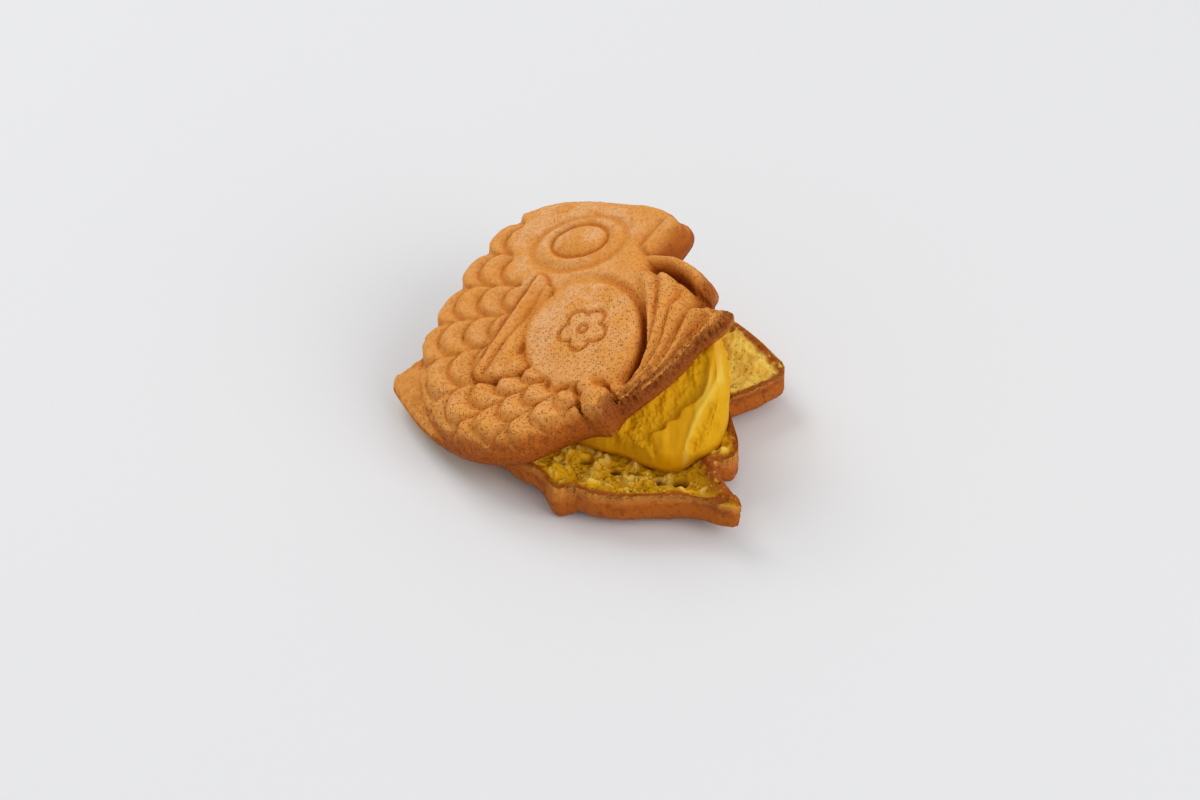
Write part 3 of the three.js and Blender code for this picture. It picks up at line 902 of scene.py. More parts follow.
def mottle(tree: bpy.types.NodeTree, place: Socket, scale: Socket, amount: Socket) -> Socket:
    """Soft patches.

    Args:
        tree: the effect's node group.
        place: where on the piece.
        scale: how many patches go into a metre.
        amount: the strongest the mask gets.

    Returns:
        The mask.
    """
    cloud = tree.nodes.new("ShaderNodeTexNoise")
    cloud.inputs["Detail"].default_value = 4.0
    cloud.inputs["Roughness"].default_value = 0.6
    tree.links.new(place, cloud.inputs["Vector"])
    tree.links.new(scale, cloud.inputs["Scale"])
    return step_of(tree, cloud.outputs["Fac"], CLOUD_LOW, CLOUD_HIGH, amount)


def effect(kind: Effect) -> bpy.types.NodeTree:
    """Node group of a shared effect, built the first time it is asked for.

    Args:
        kind: which effect.

    Returns:
        The node group: PITS gives the depth of small round bubbles, MOTTLE a soft patchy mask.
    """
    if kind.value in bpy.data.node_groups:
        return bpy.data.node_groups[kind.value]
    group = bpy.data.node_groups.new(kind.value, "ShaderNodeTree")
    for name, start in (("Size", 1.0), ("Amount", 0.5)):
        group.interface.new_socket(name, in_out="INPUT", socket_type="NodeSocketFloat").default_value = start
    group.interface.new_socket("Mask", in_out="OUTPUT", socket_type="NodeSocketFloat")
    given, result = group.nodes.new("NodeGroupInput"), group.nodes.new("NodeGroupOutput")
    place = group.nodes.new("ShaderNodeTexCoord").outputs["Object"]
    scale = sum_of(group, "DIVIDE", 1 / MM, given.outputs["Size"], clamp=False)
    pattern = pits if kind is Effect.PITS else mottle
    group.links.new(pattern(group, place, scale, given.outputs["Amount"]), result.inputs["Mask"])
    return group


def linear(red: int, green: int, blue: int) -> tuple[float, float, float, float]:
    """Shader colour of a tone given from 0 to 255."""
    shares = (channel / 255 for channel in (red, green, blue))
    return (*(s / 12.92 if s <= 0.04045 else ((s + 0.055) / 1.055) ** 2.4 for s in shares), 1.0)


class Dresser:
    """Builds one material: layers of colour, then bump and roughness."""

    def __init__(self, name: str, base: Tone, roughness: float, specular: float) -> None:
        """Start a material with one colour.

        Args:
            name: the material's name.
            base: its ground colour, 0 to 255.
            roughness: roughness where nothing changes it.
            specular: specular level.
        """
        self.material = bpy.data.materials.new(name)
        self.material.use_nodes = True
        self.tree = self.material.node_tree
        self.nodes, self.links = self.tree.nodes, self.tree.links
        self.shader = self.nodes["Principled BSDF"]
        self.shader.inputs["Base Color"].default_value = linear(*base)
        self.shader.inputs["Roughness"].default_value = roughness
        self.shader.inputs["Specular IOR Level"].default_value = specular
        self.base = base
        self.colour: Socket | None = None
        self.normal: Socket | None = None

    def read(self, name: str) -> Socket:
        """Value kept at the vertices.

        Args:
            name: the name it was noted under.

        Returns:
            The value.
        """
        node = self.nodes.new("ShaderNodeAttribute")
        node.attribute_name = name
        return node.outputs["Fac"]

    def use(self, kind: Effect, size: float, amount: float) -> Socket:
        """Place a shared effect.

        Args:
            kind: which effect.
            size: how large its parts are, in millimetres.
            amount: how much of it there is, from 0 to 1.

        Returns:
            Its mask.
        """
        node = self.nodes.new("ShaderNodeGroup")
        node.node_tree = effect(kind)
        node.inputs["Size"].default_value = size
        node.inputs["Amount"].default_value = amount
        return node.outputs["Mask"]

    def math(self, operation: str, a: Socket | float, b: Socket | float) -> Socket:
        """Result of a sum on two sockets or numbers, held between 0 and 1."""
        return sum_of(self.tree, operation, a, b)

    def ramped(self, value: Socket, low: float, high: float, top: float = 1.0) -> Socket:
        """Smooth step of a socket between low and high, up to top."""
        return step_of(self.tree, value, low, high, top)

    def paint(self, mask: Socket, tone: Tone) -> None:
        """Lay a tone over the colour so far.

        Args:
            mask: where it goes, from 0 to 1.
            tone: the tone, 0 to 255.
        """
        node = self.nodes.new("ShaderNodeMix")
        node.data_type = "RGBA"
        self.links.new(mask, node.inputs["Factor"])
        feed(self.tree, linear(*self.base) if self.colour is None else self.colour, node.inputs[MIX_GROUND])
        node.inputs[MIX_TONE].default_value = linear(*tone)
        self.colour = node.outputs[MIX_RESULT]

    def emboss(self, height: Socket, depth: float) -> None:
        """Raise the surface by a height map.

        Args:
            height: the map, from 0 to 1.
            depth: how far 1 stands over 0, in millimetres.
        """
        node = self.nodes.new("ShaderNodeBump")
        node.inputs["Strength"].default_value = 1.0
        node.inputs["Distance"].default_value = depth * MM
        self.links.new(height, node.inputs["Height"])
        if self.normal is not None:
            self.links.new(self.normal, node.inputs["Normal"])
        self.normal = node.outputs["Normal"]

    def grain(self, size: float, detail: float = 4.0) -> Socket:
        """Fine noise.

        Args:
            size: how large its grains are, in millimetres.
            detail: how many finer layers it has.

        Returns:
            The noise, from 0 to 1.
        """
        place = self.nodes.new("ShaderNodeTexCoord")
        node = self.nodes.new("ShaderNodeTexNoise")
        node.inputs["Scale"].default_value = 1 / MM / size
        node.inputs["Detail"].default_value = detail
        self.links.new(place.outputs["Object"], node.inputs["Vector"])
        return node.outputs["Fac"]

    def roughen(self, mask: Socket, low: float, high: float) -> None:
        """Vary the roughness.

        Args:
            mask: what it follows.
            low, high: the roughness where the mask is 0 and 1.
        """
        node = self.nodes.new("ShaderNodeMapRange")
        node.inputs["To Min"].default_value, node.inputs["To Max"].default_value = low, high
        self.links.new(mask, node.inputs["Value"])
        self.links.new(node.outputs[0], self.shader.inputs["Roughness"])

    def done(self) -> bpy.types.Material:
        """Wire the colour and normal in.

        Returns:
            The material.
        """
        for made, name in ((self.colour, "Base Color"), (self.normal, "Normal")):
            if made is not None:
                self.links.new(made, self.shader.inputs[name])
        return self.material


@dataclass(frozen=True)
class CrustFinish:
    """Griddled crust: a painted sheen of pale tan on the high relief, painted orange shade in its hollows, and
    brown down the walls that is partly baked colour and partly painted shade.
    """

    name: str = "crust"
    ground: Tone = (232, 158, 72)
    # Painted sheen: pale tan where the light glances off the high relief.
    high: Tone = (240, 182, 122)
    # Painted shade in the relief's narrow creases; also the tone of random flecks.
    hollow: Tone = (212, 126, 32)
    # Painted shade in the relief's broad hollows.
    deep: Tone = (166, 82, 10)
    # Baked brown of the walls, with painted shade on the steep faces turned from the light; also the tone of
    # random grain.
    wall: Tone = (184, 96, 14)
    toast: Tone = (134, 62, 10)
    pore: Tone = (126, 60, 12)

    roughness: Pair = (0.52, 0.74)
    patch_size: float = 9.0
    fleck_size: float = 1.6
    fine_pores: Pair = (0.62, 0.85)
    wide_pores: Pair = (1.3, 0.4)
    dimples: Pair = (2.6, 0.16)
    grit: Pair = (0.7, 0.10)
    wall_grit: Pair = (1.4, 0.5)
    pore_depth: float = 0.16

    def material(self) -> bpy.types.Material:
        """Make the crust material: pores are a size and an amount, dimples and grit a size and a depth.

        Returns:
            The material.
        """
        dress = Dresser(self.name, self.ground, 0.6, 0.2)
        patches = dress.use(Effect.MOTTLE, self.patch_size, 1.0)
        flecks = dress.use(Effect.MOTTLE, self.fleck_size, 1.0)
        # Painted sheen on the high relief, strongest on the head and plaque.
        dress.paint(dress.math("MULTIPLY", dress.read("high"), dress.ramped(patches, 0.0, 1.0)), self.high)
        dress.paint(dress.math("MULTIPLY", flecks, 0.3), self.hollow)
        dress.paint(dress.ramped(dress.grain(0.8), 0.5, 0.72, 0.4), self.wall)
        # Painted shade in the relief's narrow creases.
        dress.paint(dress.read("hollow"), self.hollow)
        # Baked brown and painted shade down the steep walls.
        dress.paint(dress.read("wall"), self.wall)
        streaks = dress.math("MULTIPLY", dress.read("wall"), dress.ramped(dress.grain(2.2), 0.52, 0.66, 0.6))
        dress.paint(streaks, self.toast)
        # Painted shade in the broad hollows.
        dress.paint(dress.read("deep"), self.deep)
        dress.paint(dress.read("toast"), self.toast)
        fine, wide = dress.use(Effect.PITS, *self.fine_pores), dress.use(Effect.PITS, *self.wide_pores)
        holes = dress.math("MULTIPLY", dress.math("MAXIMUM", fine, wide), dress.read("pores"))
        dress.paint(dress.math("MULTIPLY", holes, 0.6), self.pore)
        dress.roughen(dress.math("ADD", flecks, holes), *self.roughness)
        for size, depth in (self.dimples, self.grit):
            dress.emboss(dress.grain(size, 3.0), depth)
        size, depth = self.wall_grit
        dress.emboss(dress.math("MULTIPLY", dress.grain(size), dress.read("wall")), depth)
        dress.emboss(dress.math("SUBTRACT", 1.0, holes), self.pore_depth)
        return dress.done()


@dataclass(frozen=True)
class CrumbFinish:
    """Torn open crumb: yellow and bubbly, browned where it meets the crust, with painted shade in its holes
    and pits and painted light on the jaw.
    """

    name: str = "crumb"
    ground: Tone = (236, 180, 28)
    # Pale crumb: painted light on the jaw, and the tone of the raised clumps and loose bits.
    pale: Tone = (246, 210, 96)
    moist: Tone = (222, 166, 8)
    # Painted shade inside the crumb's holes, pits and caves.
    shaded_hole: Tone = (122, 64, 6)
    toast: Tone = (160, 80, 14)

    roughness: Pair = (0.5, 0.85)
    patch_size: float = 4.5
    fine_holes: Pair = (0.8, 0.6)
    wide_holes: Pair = (1.9, 0.5)
    grit: Pair = (1.3, 0.3)
    hole_depth: float = 0.35

    def material(self) -> bpy.types.Material:
        """Make the crumb material: holes are a size and an amount, grit a size and a depth.

        Returns:
            The material.
        """
        dress = Dresser(self.name, self.ground, 0.72, 0.15)
        patches = dress.use(Effect.MOTTLE, self.patch_size, 1.0)
        dress.paint(dress.math("MULTIPLY", patches, dress.read("moist")), self.moist)
        # Painted light on the jaw, and paler raised clumps.
        dress.paint(dress.read("pale"), self.pale)
        # Painted shade in the pits and caves.
        dress.paint(dress.read("shaded_hole"), self.shaded_hole)
        browned = dress.math("MULTIPLY", dress.read("toast"), dress.ramped(dress.grain(1.8), 0.2, 0.45))
        dress.paint(browned, self.toast)
        fine, wide = dress.use(Effect.PITS, *self.fine_holes), dress.use(Effect.PITS, *self.wide_holes)
        holes = dress.math("MAXIMUM", fine, wide)
        # Painted shade in the small bubble holes.
        dress.paint(dress.math("MULTIPLY", holes, 0.3), self.shaded_hole)
        dress.roughen(dress.math("ADD", holes, patches), *self.roughness)
        size, depth = self.grit
        dress.emboss(dress.grain(size), depth)
        dress.emboss(dress.math("SUBTRACT", 1.0, holes), self.hole_depth)
        return dress.done()


@dataclass(frozen=True)
class PasteFinish:
    """Smooth golden sweet potato paste, crumbly where it was pulled apart."""

    name: str = "paste"
    ground: Tone = (232, 168, 0)
    pale: Tone = (240, 198, 66)
    deep: Tone = (220, 152, 0)
    crumbly: Tone = (230, 172, 8)

    roughness: Pair = (0.5, 0.75)
    patch_size: float = 5.0
    flecks: Pair = (1.3, 0.25)
    waves: Pair = (3.5, 0.22)
    grit: Pair = (0.9, 0.22)

    def material(self) -> bpy.types.Material:
        """Make the filling material: flecks are a size and an amount, waves and grit a size and a depth.

        Returns:
            The material.
        """
        dress = Dresser(self.name, self.ground, 0.55, 0.18)
        patches = dress.use(Effect.MOTTLE, self.patch_size, 1.0)
        dress.paint(dress.math("MULTIPLY", patches, 0.4), self.deep)
        dress.paint(dress.read("crumbled"), self.crumbly)
        dress.paint(dress.read("pale"), self.pale)
        dress.paint(dress.math("MULTIPLY", dress.use(Effect.PITS, *self.flecks), 0.4), self.pale)
        dress.roughen(dress.math("ADD", patches, dress.read("crumbled")), *self.roughness)
        size, depth = self.waves
        dress.emboss(dress.grain(size, 2.0), depth)
        size, depth = self.grit
        uneven = dress.math("ADD", dress.read("crumbled"), 0.25)
        dress.emboss(dress.math("MULTIPLY", dress.grain(size), uneven), depth)
        return dress.done()


# ---------------------------------------------------------------- the pieces


def lumps(points: np.ndarray, layers: tuple[Triple, ...], octaves: int = 2) -> np.ndarray:
    """Add up layers of smooth noise.

    Args:
        points: rows of three numbers, in millimetres.
        layers: each layer's size, seed and height.
        octaves: how many finer layers each has.

    Returns:
        One height for each point.
    """
    return sum(speckle(points, size, seed, octaves) * height for size, seed, height in layers)


def note_all(mesh: bpy.types.Mesh, masks: dict[str, np.ndarray | float]) -> None:
    """Keep several values at each vertex, each an array or the same all over."""
    for name, values in masks.items():
        note(mesh, name, np.zeros(len(mesh.vertices)) + values)


@dataclass
class UpperHalf:
    """Half of the cake that lies on top: relief over, hollow crumb under. Sizes are in millimetres."""

    rim: Points = field(default_factory=lambda: [
        (45.1, -12.9), (40.4, -7.4), (43.4, -3.6), (43.2, 2.4), (39.2, 10.6), (34.6, 14.2),
        (38.9, 16.9), (44.2, 21.4), (45, 26.8), (36, 37.4), (25.5, 48), (13, 55.8), (1, 57.3),
        (-10.3, 53), (-21, 45.8), (-30.6, 37.4), (-38, 31.4), (-46, 27.2), (-53, 25), (-52, 13),
        (-50, 4), (-45.8, -6.5), (-39.6, -16.3), (-30.3, -24.3), (-23.5, -27.2), (-14, -28),
        (-5, -29.6), (0.2, -32.8), (5, -29.4), (14.9, -26.9), (25.2, -23.4), (32.6, -19.2),
        (40.5, -17.3),
    ])
    middle: Pair = (-2, 8)
    cells: int = 124
    packing: float = 1.25
    skirt_height: float = 3.0
    skirt_shoulder: float = 2.2
    skirt_slopes: Pair = (0.12, 0.4)
    body_shoulder: float = 9.0
    belly_shoulder: float = 5.5
    crust_wall: float = 5.5
    rim_band: float = 4.0
    hollow_shoulder: float = 14
    skin_lumps: tuple[Triple, ...] = ((5.0, 1.0, 0.18), (1.7, 2.0, 0.09))
    belly_lumps: tuple[Triple, ...] = ((4.5, 12.0, 0.9), (1.8, 17.0, 0.25))
    ragged_depth: float = 2.4
    bread_depth: float = 0.7

    def __post_init__(self) -> None:
        """Sample the rim once."""
        self.rim_line = smooth_curve(self.rim, 168, True)

    def relief(self, u: np.ndarray, v: np.ndarray) -> np.ndarray:
        """Height of the moulded side over the parting plane.

        Args:
            u, v: places in the fish frame, in millimetres.

        Returns:
            One height for each place.
        """
        depth = np.maximum(depth_in(self.rim_line, u, v), 0)
        tail = ramp(-u, 34, 46)
        rise = mix(*self.skirt_slopes, tail) * np.minimum(depth, 8)
        skirt = self.skirt_height * shoulder(depth, self.skirt_shoulder) + rise
        inside = depth_in(RELIEF.body_line, u, v)
        width = mix(self.body_shoulder, self.belly_shoulder, np.maximum(ramp(-v, -2, 16), ramp(u, 28, 37)))
        body = RELIEF.height(u, v, depth, inside, width, 2.3, True)
        return soft_max(skirt, body * shoulder(depth, 2.4), 3.0 + 2.0 * tail)

    def hollow(self, u: np.ndarray, v: np.ndarray) -> np.ndarray:
        """Height of the hollow's roof over the parting plane.

        Args:
            u, v: places in the fish frame, in millimetres.

        Returns:
            One height for each place.
        """
        depth = depth_in(self.rim_line, u, v)
        dish = (FLANK_TOP - self.crust_wall) * shoulder(depth - self.rim_band, self.hollow_shoulder, 1.8)
        return dish * ramp(depth_in(RELIEF.body_line, u, v), 2, 15)

    def fan_wall(self, fish: np.ndarray, rim: np.ndarray) -> np.ndarray:
        """Mask of the ragged wall under the fan.

        Args:
            fish: places in the fish frame, in millimetres.
            rim: depth of each place inside the rim.

        Returns:
            One value from 0 to 1 for each place.
        """
        u, v = fish[:, 0], fish[:, 1]
        return ramp(u - 0.6 * v, 12, 24) * (1 - ramp(rim, 1.5, 4.0)) * ramp(-v, 2, 8)

    def roughness(self, fish: np.ndarray, rim: np.ndarray, torn: np.ndarray) -> np.ndarray:
        """How far each place stands out of the plain shape.

        Args:
            fish: places in the fish frame, in millimetres.
            rim: depth of each place inside the rim.
            torn: whether each place is on the torn side.

        Returns:
            One distance along the normal for each place.
        """
        u, v = fish[:, 0], fish[:, 1]
        belly = (1 - ramp(rim, 3, 8)) * ramp(-u - v, 0, 20)
        swell = lumps(fish, self.skin_lumps) + lumps(fish, self.belly_lumps) * belly
        ragged = np.abs(speckle(fish * [1, 1, 0.5], 2.2, 3.0, 3)) * self.ragged_depth
        bread = -(0.5 + speckle(fish, 2.4, 4.0, 3)) * self.bread_depth * ramp(rim, 0.2, 3)
        baked = swell - 0.1 - ragged * self.fan_wall(fish, rim)
        return np.where(torn, bread, baked) * ramp(rim, 0.0, 0.5)

    def mark(self, mesh: bpy.types.Mesh, fish: np.ndarray, rim: np.ndarray, normals: np.ndarray) -> None:
        """Keep the masks that the finishes read.

        Args:
            mesh: the half's mesh.
            fish: its vertices' places in the fish frame, in millimetres.
            rim: depth of each place inside the rim.
            normals: its vertices' normals.
        """
        u, v, height = fish.T
        sunk, broad = hollows(self.relief, (-58, -38), (50, 62), (1.4, 3.5))
        # Where the painted sheen is strongest: the top of the head and of the plaque.
        head = 1 - ramp(np.hypot(u - RELIEF.gill_centre[0], v - RELIEF.gill_centre[1]), 22, 26)
        plaque = 1 - ramp(RELIEF.plaque.place(u, v), 0.9, 1.0)
        sheen_zone = np.maximum(head * ramp(v, 8, 34), plaque * ramp(v, -22, 14))
        slope = 1 - np.abs(normals @ LEANING.axes()[2])
        note_all(mesh, {
            # hollow is painted shade in the narrow creases.
            "hollow": ramp(sunk.read(u, v), 0.05, 0.9) * 0.9,
            # deep is painted shade in the broad hollows.
            "deep": ramp(broad.read(u, v), 0.9, 2.6),
            # high is a painted sheen on the high relief, away from broad hollows.
            "high": ramp(height, 9, 14) * (1 - ramp(broad.read(u, v), -0.1, 0.7)) * (0.3 + 0.7 * sheen_zone),
            # wall is baked brown and painted shade on the steep, low faces.
            "wall": ramp(slope, 0.25, 0.8) * (1 - ramp(height, 6, 13)),
            "toast": self.fan_wall(fish, rim) * ramp(slope, 0.2, 0.6) * 0.7,
            "pores": 0.35 + 0.65 * ramp(-v, -16, 0),
            "moist": 1,
            "pale": 0,
            "shaded_hole": 0,
        })

    def build(self, crust: bpy.types.Material, crumb: bpy.types.Material) -> bpy.types.Object:
        """Make the upper half.

        Args:
            crust: finish of the moulded side.
            crumb: finish of the torn side.

        Returns:
            The finished piece.
        """
        skin = Lattice(self.cells)
        u, v = skin.spread(self.rim_line, self.middle, self.packing)
        torn = ~skin.over & (skin.ring < 1)
        height = np.zeros(len(u))
        height[skin.over] = self.relief(u[skin.over], v[skin.over])
        height[torn] = self.hollow(u[torn], v[torn])
        place = LEANING.place(u, v, height)
        mesh = skin.mesh("upper_shell", place)
        normals = normals_of(mesh)
        fish, rim = np.c_[u, v, height], depth_in(self.rim_line, u, v)
        push = self.roughness(fish, rim, torn)
        move(mesh, within(place + normals * push[:, None], "upper_half"))
        self.mark(mesh, fish, rim, normals)
        made = piece("upper_shell", mesh, [crust, crumb])
        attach(made, "root")
        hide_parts("upper_half")
        return made


@dataclass
class LowerHalf:
    """Half of the cake that lies on the table: torn crumb over, relief pressed flat under, in millimetres."""

    rim: Points = field(default_factory=lambda: [
        (48.6, -20.2), (44.6, -16.8), (39.4, -11.4), (35.2, -5.8), (39.6, -1.8), (39.6, 3.1),
        (34.2, 13.3), (30.6, 20.8), (35.2, 26.7), (41.7, 37.9), (40.6, 41.2), (36.4, 44.6),
        (30, 49.4), (18, 55.6), (4, 56), (-9, 50), (-20, 42), (-30, 34), (-38, 28), (-46, 22),
        (-45.4, 8), (-41, -4), (-32, -14), (-23.6, -20.8), (-15.6, -24.2), (-8, -27), (-2, -31.8),
        (1.6, -29.2), (8, -30), (15.7, -28.3), (27, -23.4), (36, -20.9), (43, -21.4),
    ])
    middle: Pair = (6.8, 4.4)
    cells: int = 116
    packing: float = 1.25
    skirt_height: float = 4.0
    skirt_shoulder: float = 2.2
    body_shoulder: float = 8.5
    throat_shoulder: float = 4.6
    slip: float = 1.8
    tail: float = -40.0
    bulge: float = 1.2
    caves: tuple[Ellipse, ...] = (
        Ellipse((8.6, -13.4), (2.6, 1.6), -20), Ellipse((-1, -11.6), (2.4, 1.5), 20),
        Ellipse((21.6, -13.2), (3, 1.8), -60), Ellipse((27.6, -12), (3.4, 2), -10),
        Ellipse((14.6, -12.2), (3.2, 1.5), -8),
    )
    torn_edge: Points = field(default_factory=lambda: [(33.4, -7), (37, -12), (41.4, -17), (45.6, -19.8)])
    web_height: float = 3.4
    dish_depths: Pair = (5.8, 4.4)
    pit_sizes: tuple[Triple, ...] = ((4.2, 1.0, 1.5), (2.2, 2.0, 0.8))
    crumb_lumps: tuple[Triple, ...] = ((6.5, 5.0, 1.6), (1.6, 6.0, 0.35))
    crust_lumps: tuple[Triple, ...] = ((5.0, 7.0, 0.25), (1.7, 8.0, 0.12))
    cave_depth: float = 3.6
    clump_height: float = 2.0
    crack_height: float = 10.4
    crack_depth: float = 0.7

    def __post_init__(self) -> None:
        """Sample the rim once."""
        self.rim_line = smooth_curve(self.rim, 128, True)

    def relief(self, u: np.ndarray, v: np.ndarray) -> np.ndarray:
        """Height of the moulded side below the parting plane.

        Args:
            u, v: places in the fish frame, in millimetres.

        Returns:
            One height for each place.
        """
        depth = np.maximum(depth_in(self.rim_line, u, v), 0)
        skirt = self.skirt_height * shoulder(depth, self.skirt_shoulder)
        throat = ramp(u, -2, 8) * (1 - ramp(u, 26, 40)) * ramp(-v, 5, 15)
        width = mix(self.body_shoulder, self.throat_shoulder, throat)
        inside = np.minimum(depth, u - self.tail)
        body = RELIEF.height(u + self.slip, v, depth, inside, width, 3, False)
        return soft_max(skirt, body * shoulder(depth, 1.2), 0.8)

    def rim_height(self, x: np.ndarray, y: np.ndarray) -> np.ndarray:
        """Height of the rim: level, and pressed down where the upper half lies on it."""
        return np.minimum(REST_HEIGHT, LEANING.height(x, y) - TOUCH_GAP)

    def crumb_height(self, x: np.ndarray, y: np.ndarray) -> np.ndarray:
        """Height of the crumb over the table.

        Args:
            x, y: points on the table, in millimetres.

        Returns:
            One height for each point.
        """
        u, v = LYING.place(x, y)
        dish = ramp(depth_in(self.rim_line, u, v), 0.6, 13)
        jaw = ramp(v, 20, 34) * ramp(u, 14, 28)
        return self.rim_height(x, y) - mix(*self.dish_depths, jaw) * dish

    def build(self, crust: bpy.types.Material, crumb: bpy.types.Material) -> bpy.types.Object:
        """Make the lower half.

        Args:
            crust: finish of the moulded side.
            crumb: finish of the torn side.

        Returns:
            The finished piece.
        """
        skin = Lattice(self.cells)
        u, v = skin.spread(self.rim_line, self.middle, self.packing)
        x, y = LYING.spot(u, v)
        over = skin.over
        under = ~over & (skin.ring < 1)
        rim = np.maximum(depth_in(self.rim_line, u, v), 0)
        z = self.crumb_height(x, y)
        relief = self.relief(u[under], v[under]) * REST_HEIGHT / PRESSED_RELIEF
        z[under] = np.maximum(self.rim_height(x, y)[under] - relief, 0)

        fish = np.c_[u, v, z]
        jaw = ramp(v, 16, 28) * ramp(u, 12, 26)
        open_crumb = ramp(rim, 0.5, 2.4)
        pits = sum(bubbles(np.c_[u, v, z * 0], size, seed) * depth for size, seed, depth in self.pit_sizes)
        rough = lumps(fish, self.crumb_lumps, 3)
        caves = np.zeros(len(u))
        for cave in self.caves:
            caves = np.maximum(caves, 1 - np.minimum(cave.place(u, v), 1) ** 2)
        torn = bell(distance_to(smooth_curve(self.torn_edge, 20, False), u, v), 2.0)
        clumps = np.maximum(speckle(fish, 4.4, 13.0), 0) * ramp(rim, 1.5, 4) * (1 - jaw)
        sink = np.maximum(pits + 0.5 - rough + self.cave_depth * caves, -1.2) * open_crumb
        z = np.where(over, z - sink - 0.5 * np.abs(rough) * (1 - open_crumb), z)
        raised = self.web_height * torn * (1 + 0.5 * rough) + self.clump_height * clumps
        z = np.where(over, z + raised * (1 - caves), z)
        place = np.c_[x, y, z]
        mesh = skin.mesh("lower_shell", place)
        normals = normals_of(mesh)
        swell = lumps(fish, self.crust_lumps) - 0.1
        swell = swell + self.bulge * bell(z - 6.5, 3.5) * ramp(12 - rim, 2, 9)
        waver = 0.6 * speckle(fish * [1, 1, 0.2], 6.0, 14.0)
        crack = bell(z - self.crack_height - waver, 0.5) * ramp(u, 2, 12)
        swell = swell - self.crack_depth * crack + 0.35 * speckle(fish, 9.0, 16.0)
        push = np.where(under & (z > BOX_CLEARANCE), swell, 0) * ramp(rim, 0.0, 0.5)
        move(mesh, within(place + normals * push[:, None], "lower_half", self.web_height))

        browned = np.maximum(1 - ramp(rim, 1.2, 3.2), torn * 1.3)
        note_all(mesh, {
            # The pressed side: crease-shade tint all over, painted shade darker towards the table, and the
            # wall tone, which is baked brown and painted shade.
            "hollow": under * 0.35,
            "deep": under * ramp(REST_HEIGHT - z, 4, 11) * 0.5,
            "high": 0,
            "wall": under * 1.0,
            "toast": np.where(over, browned, 0.1 + 0.7 * crack),
            "pores": 0.5,
            "moist": 1 - jaw,
            # pale is painted light on the jaw's crumb, and paler raised clumps.
            "pale": np.maximum(jaw * 0.9, ramp(clumps, 0.05, 0.5) * 0.75),
            # Painted shade in the pits and caves of the open crumb.
            "shaded_hole": np.maximum(ramp(pits, 0.7, 1.8) * (1 - 0.5 * jaw), ramp(caves, 0.1, 0.7)) * open_crumb,
        })
        made = piece("lower_shell", mesh, [crumb, crust])
        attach(made, "root")
        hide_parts("lower_half")
        return made


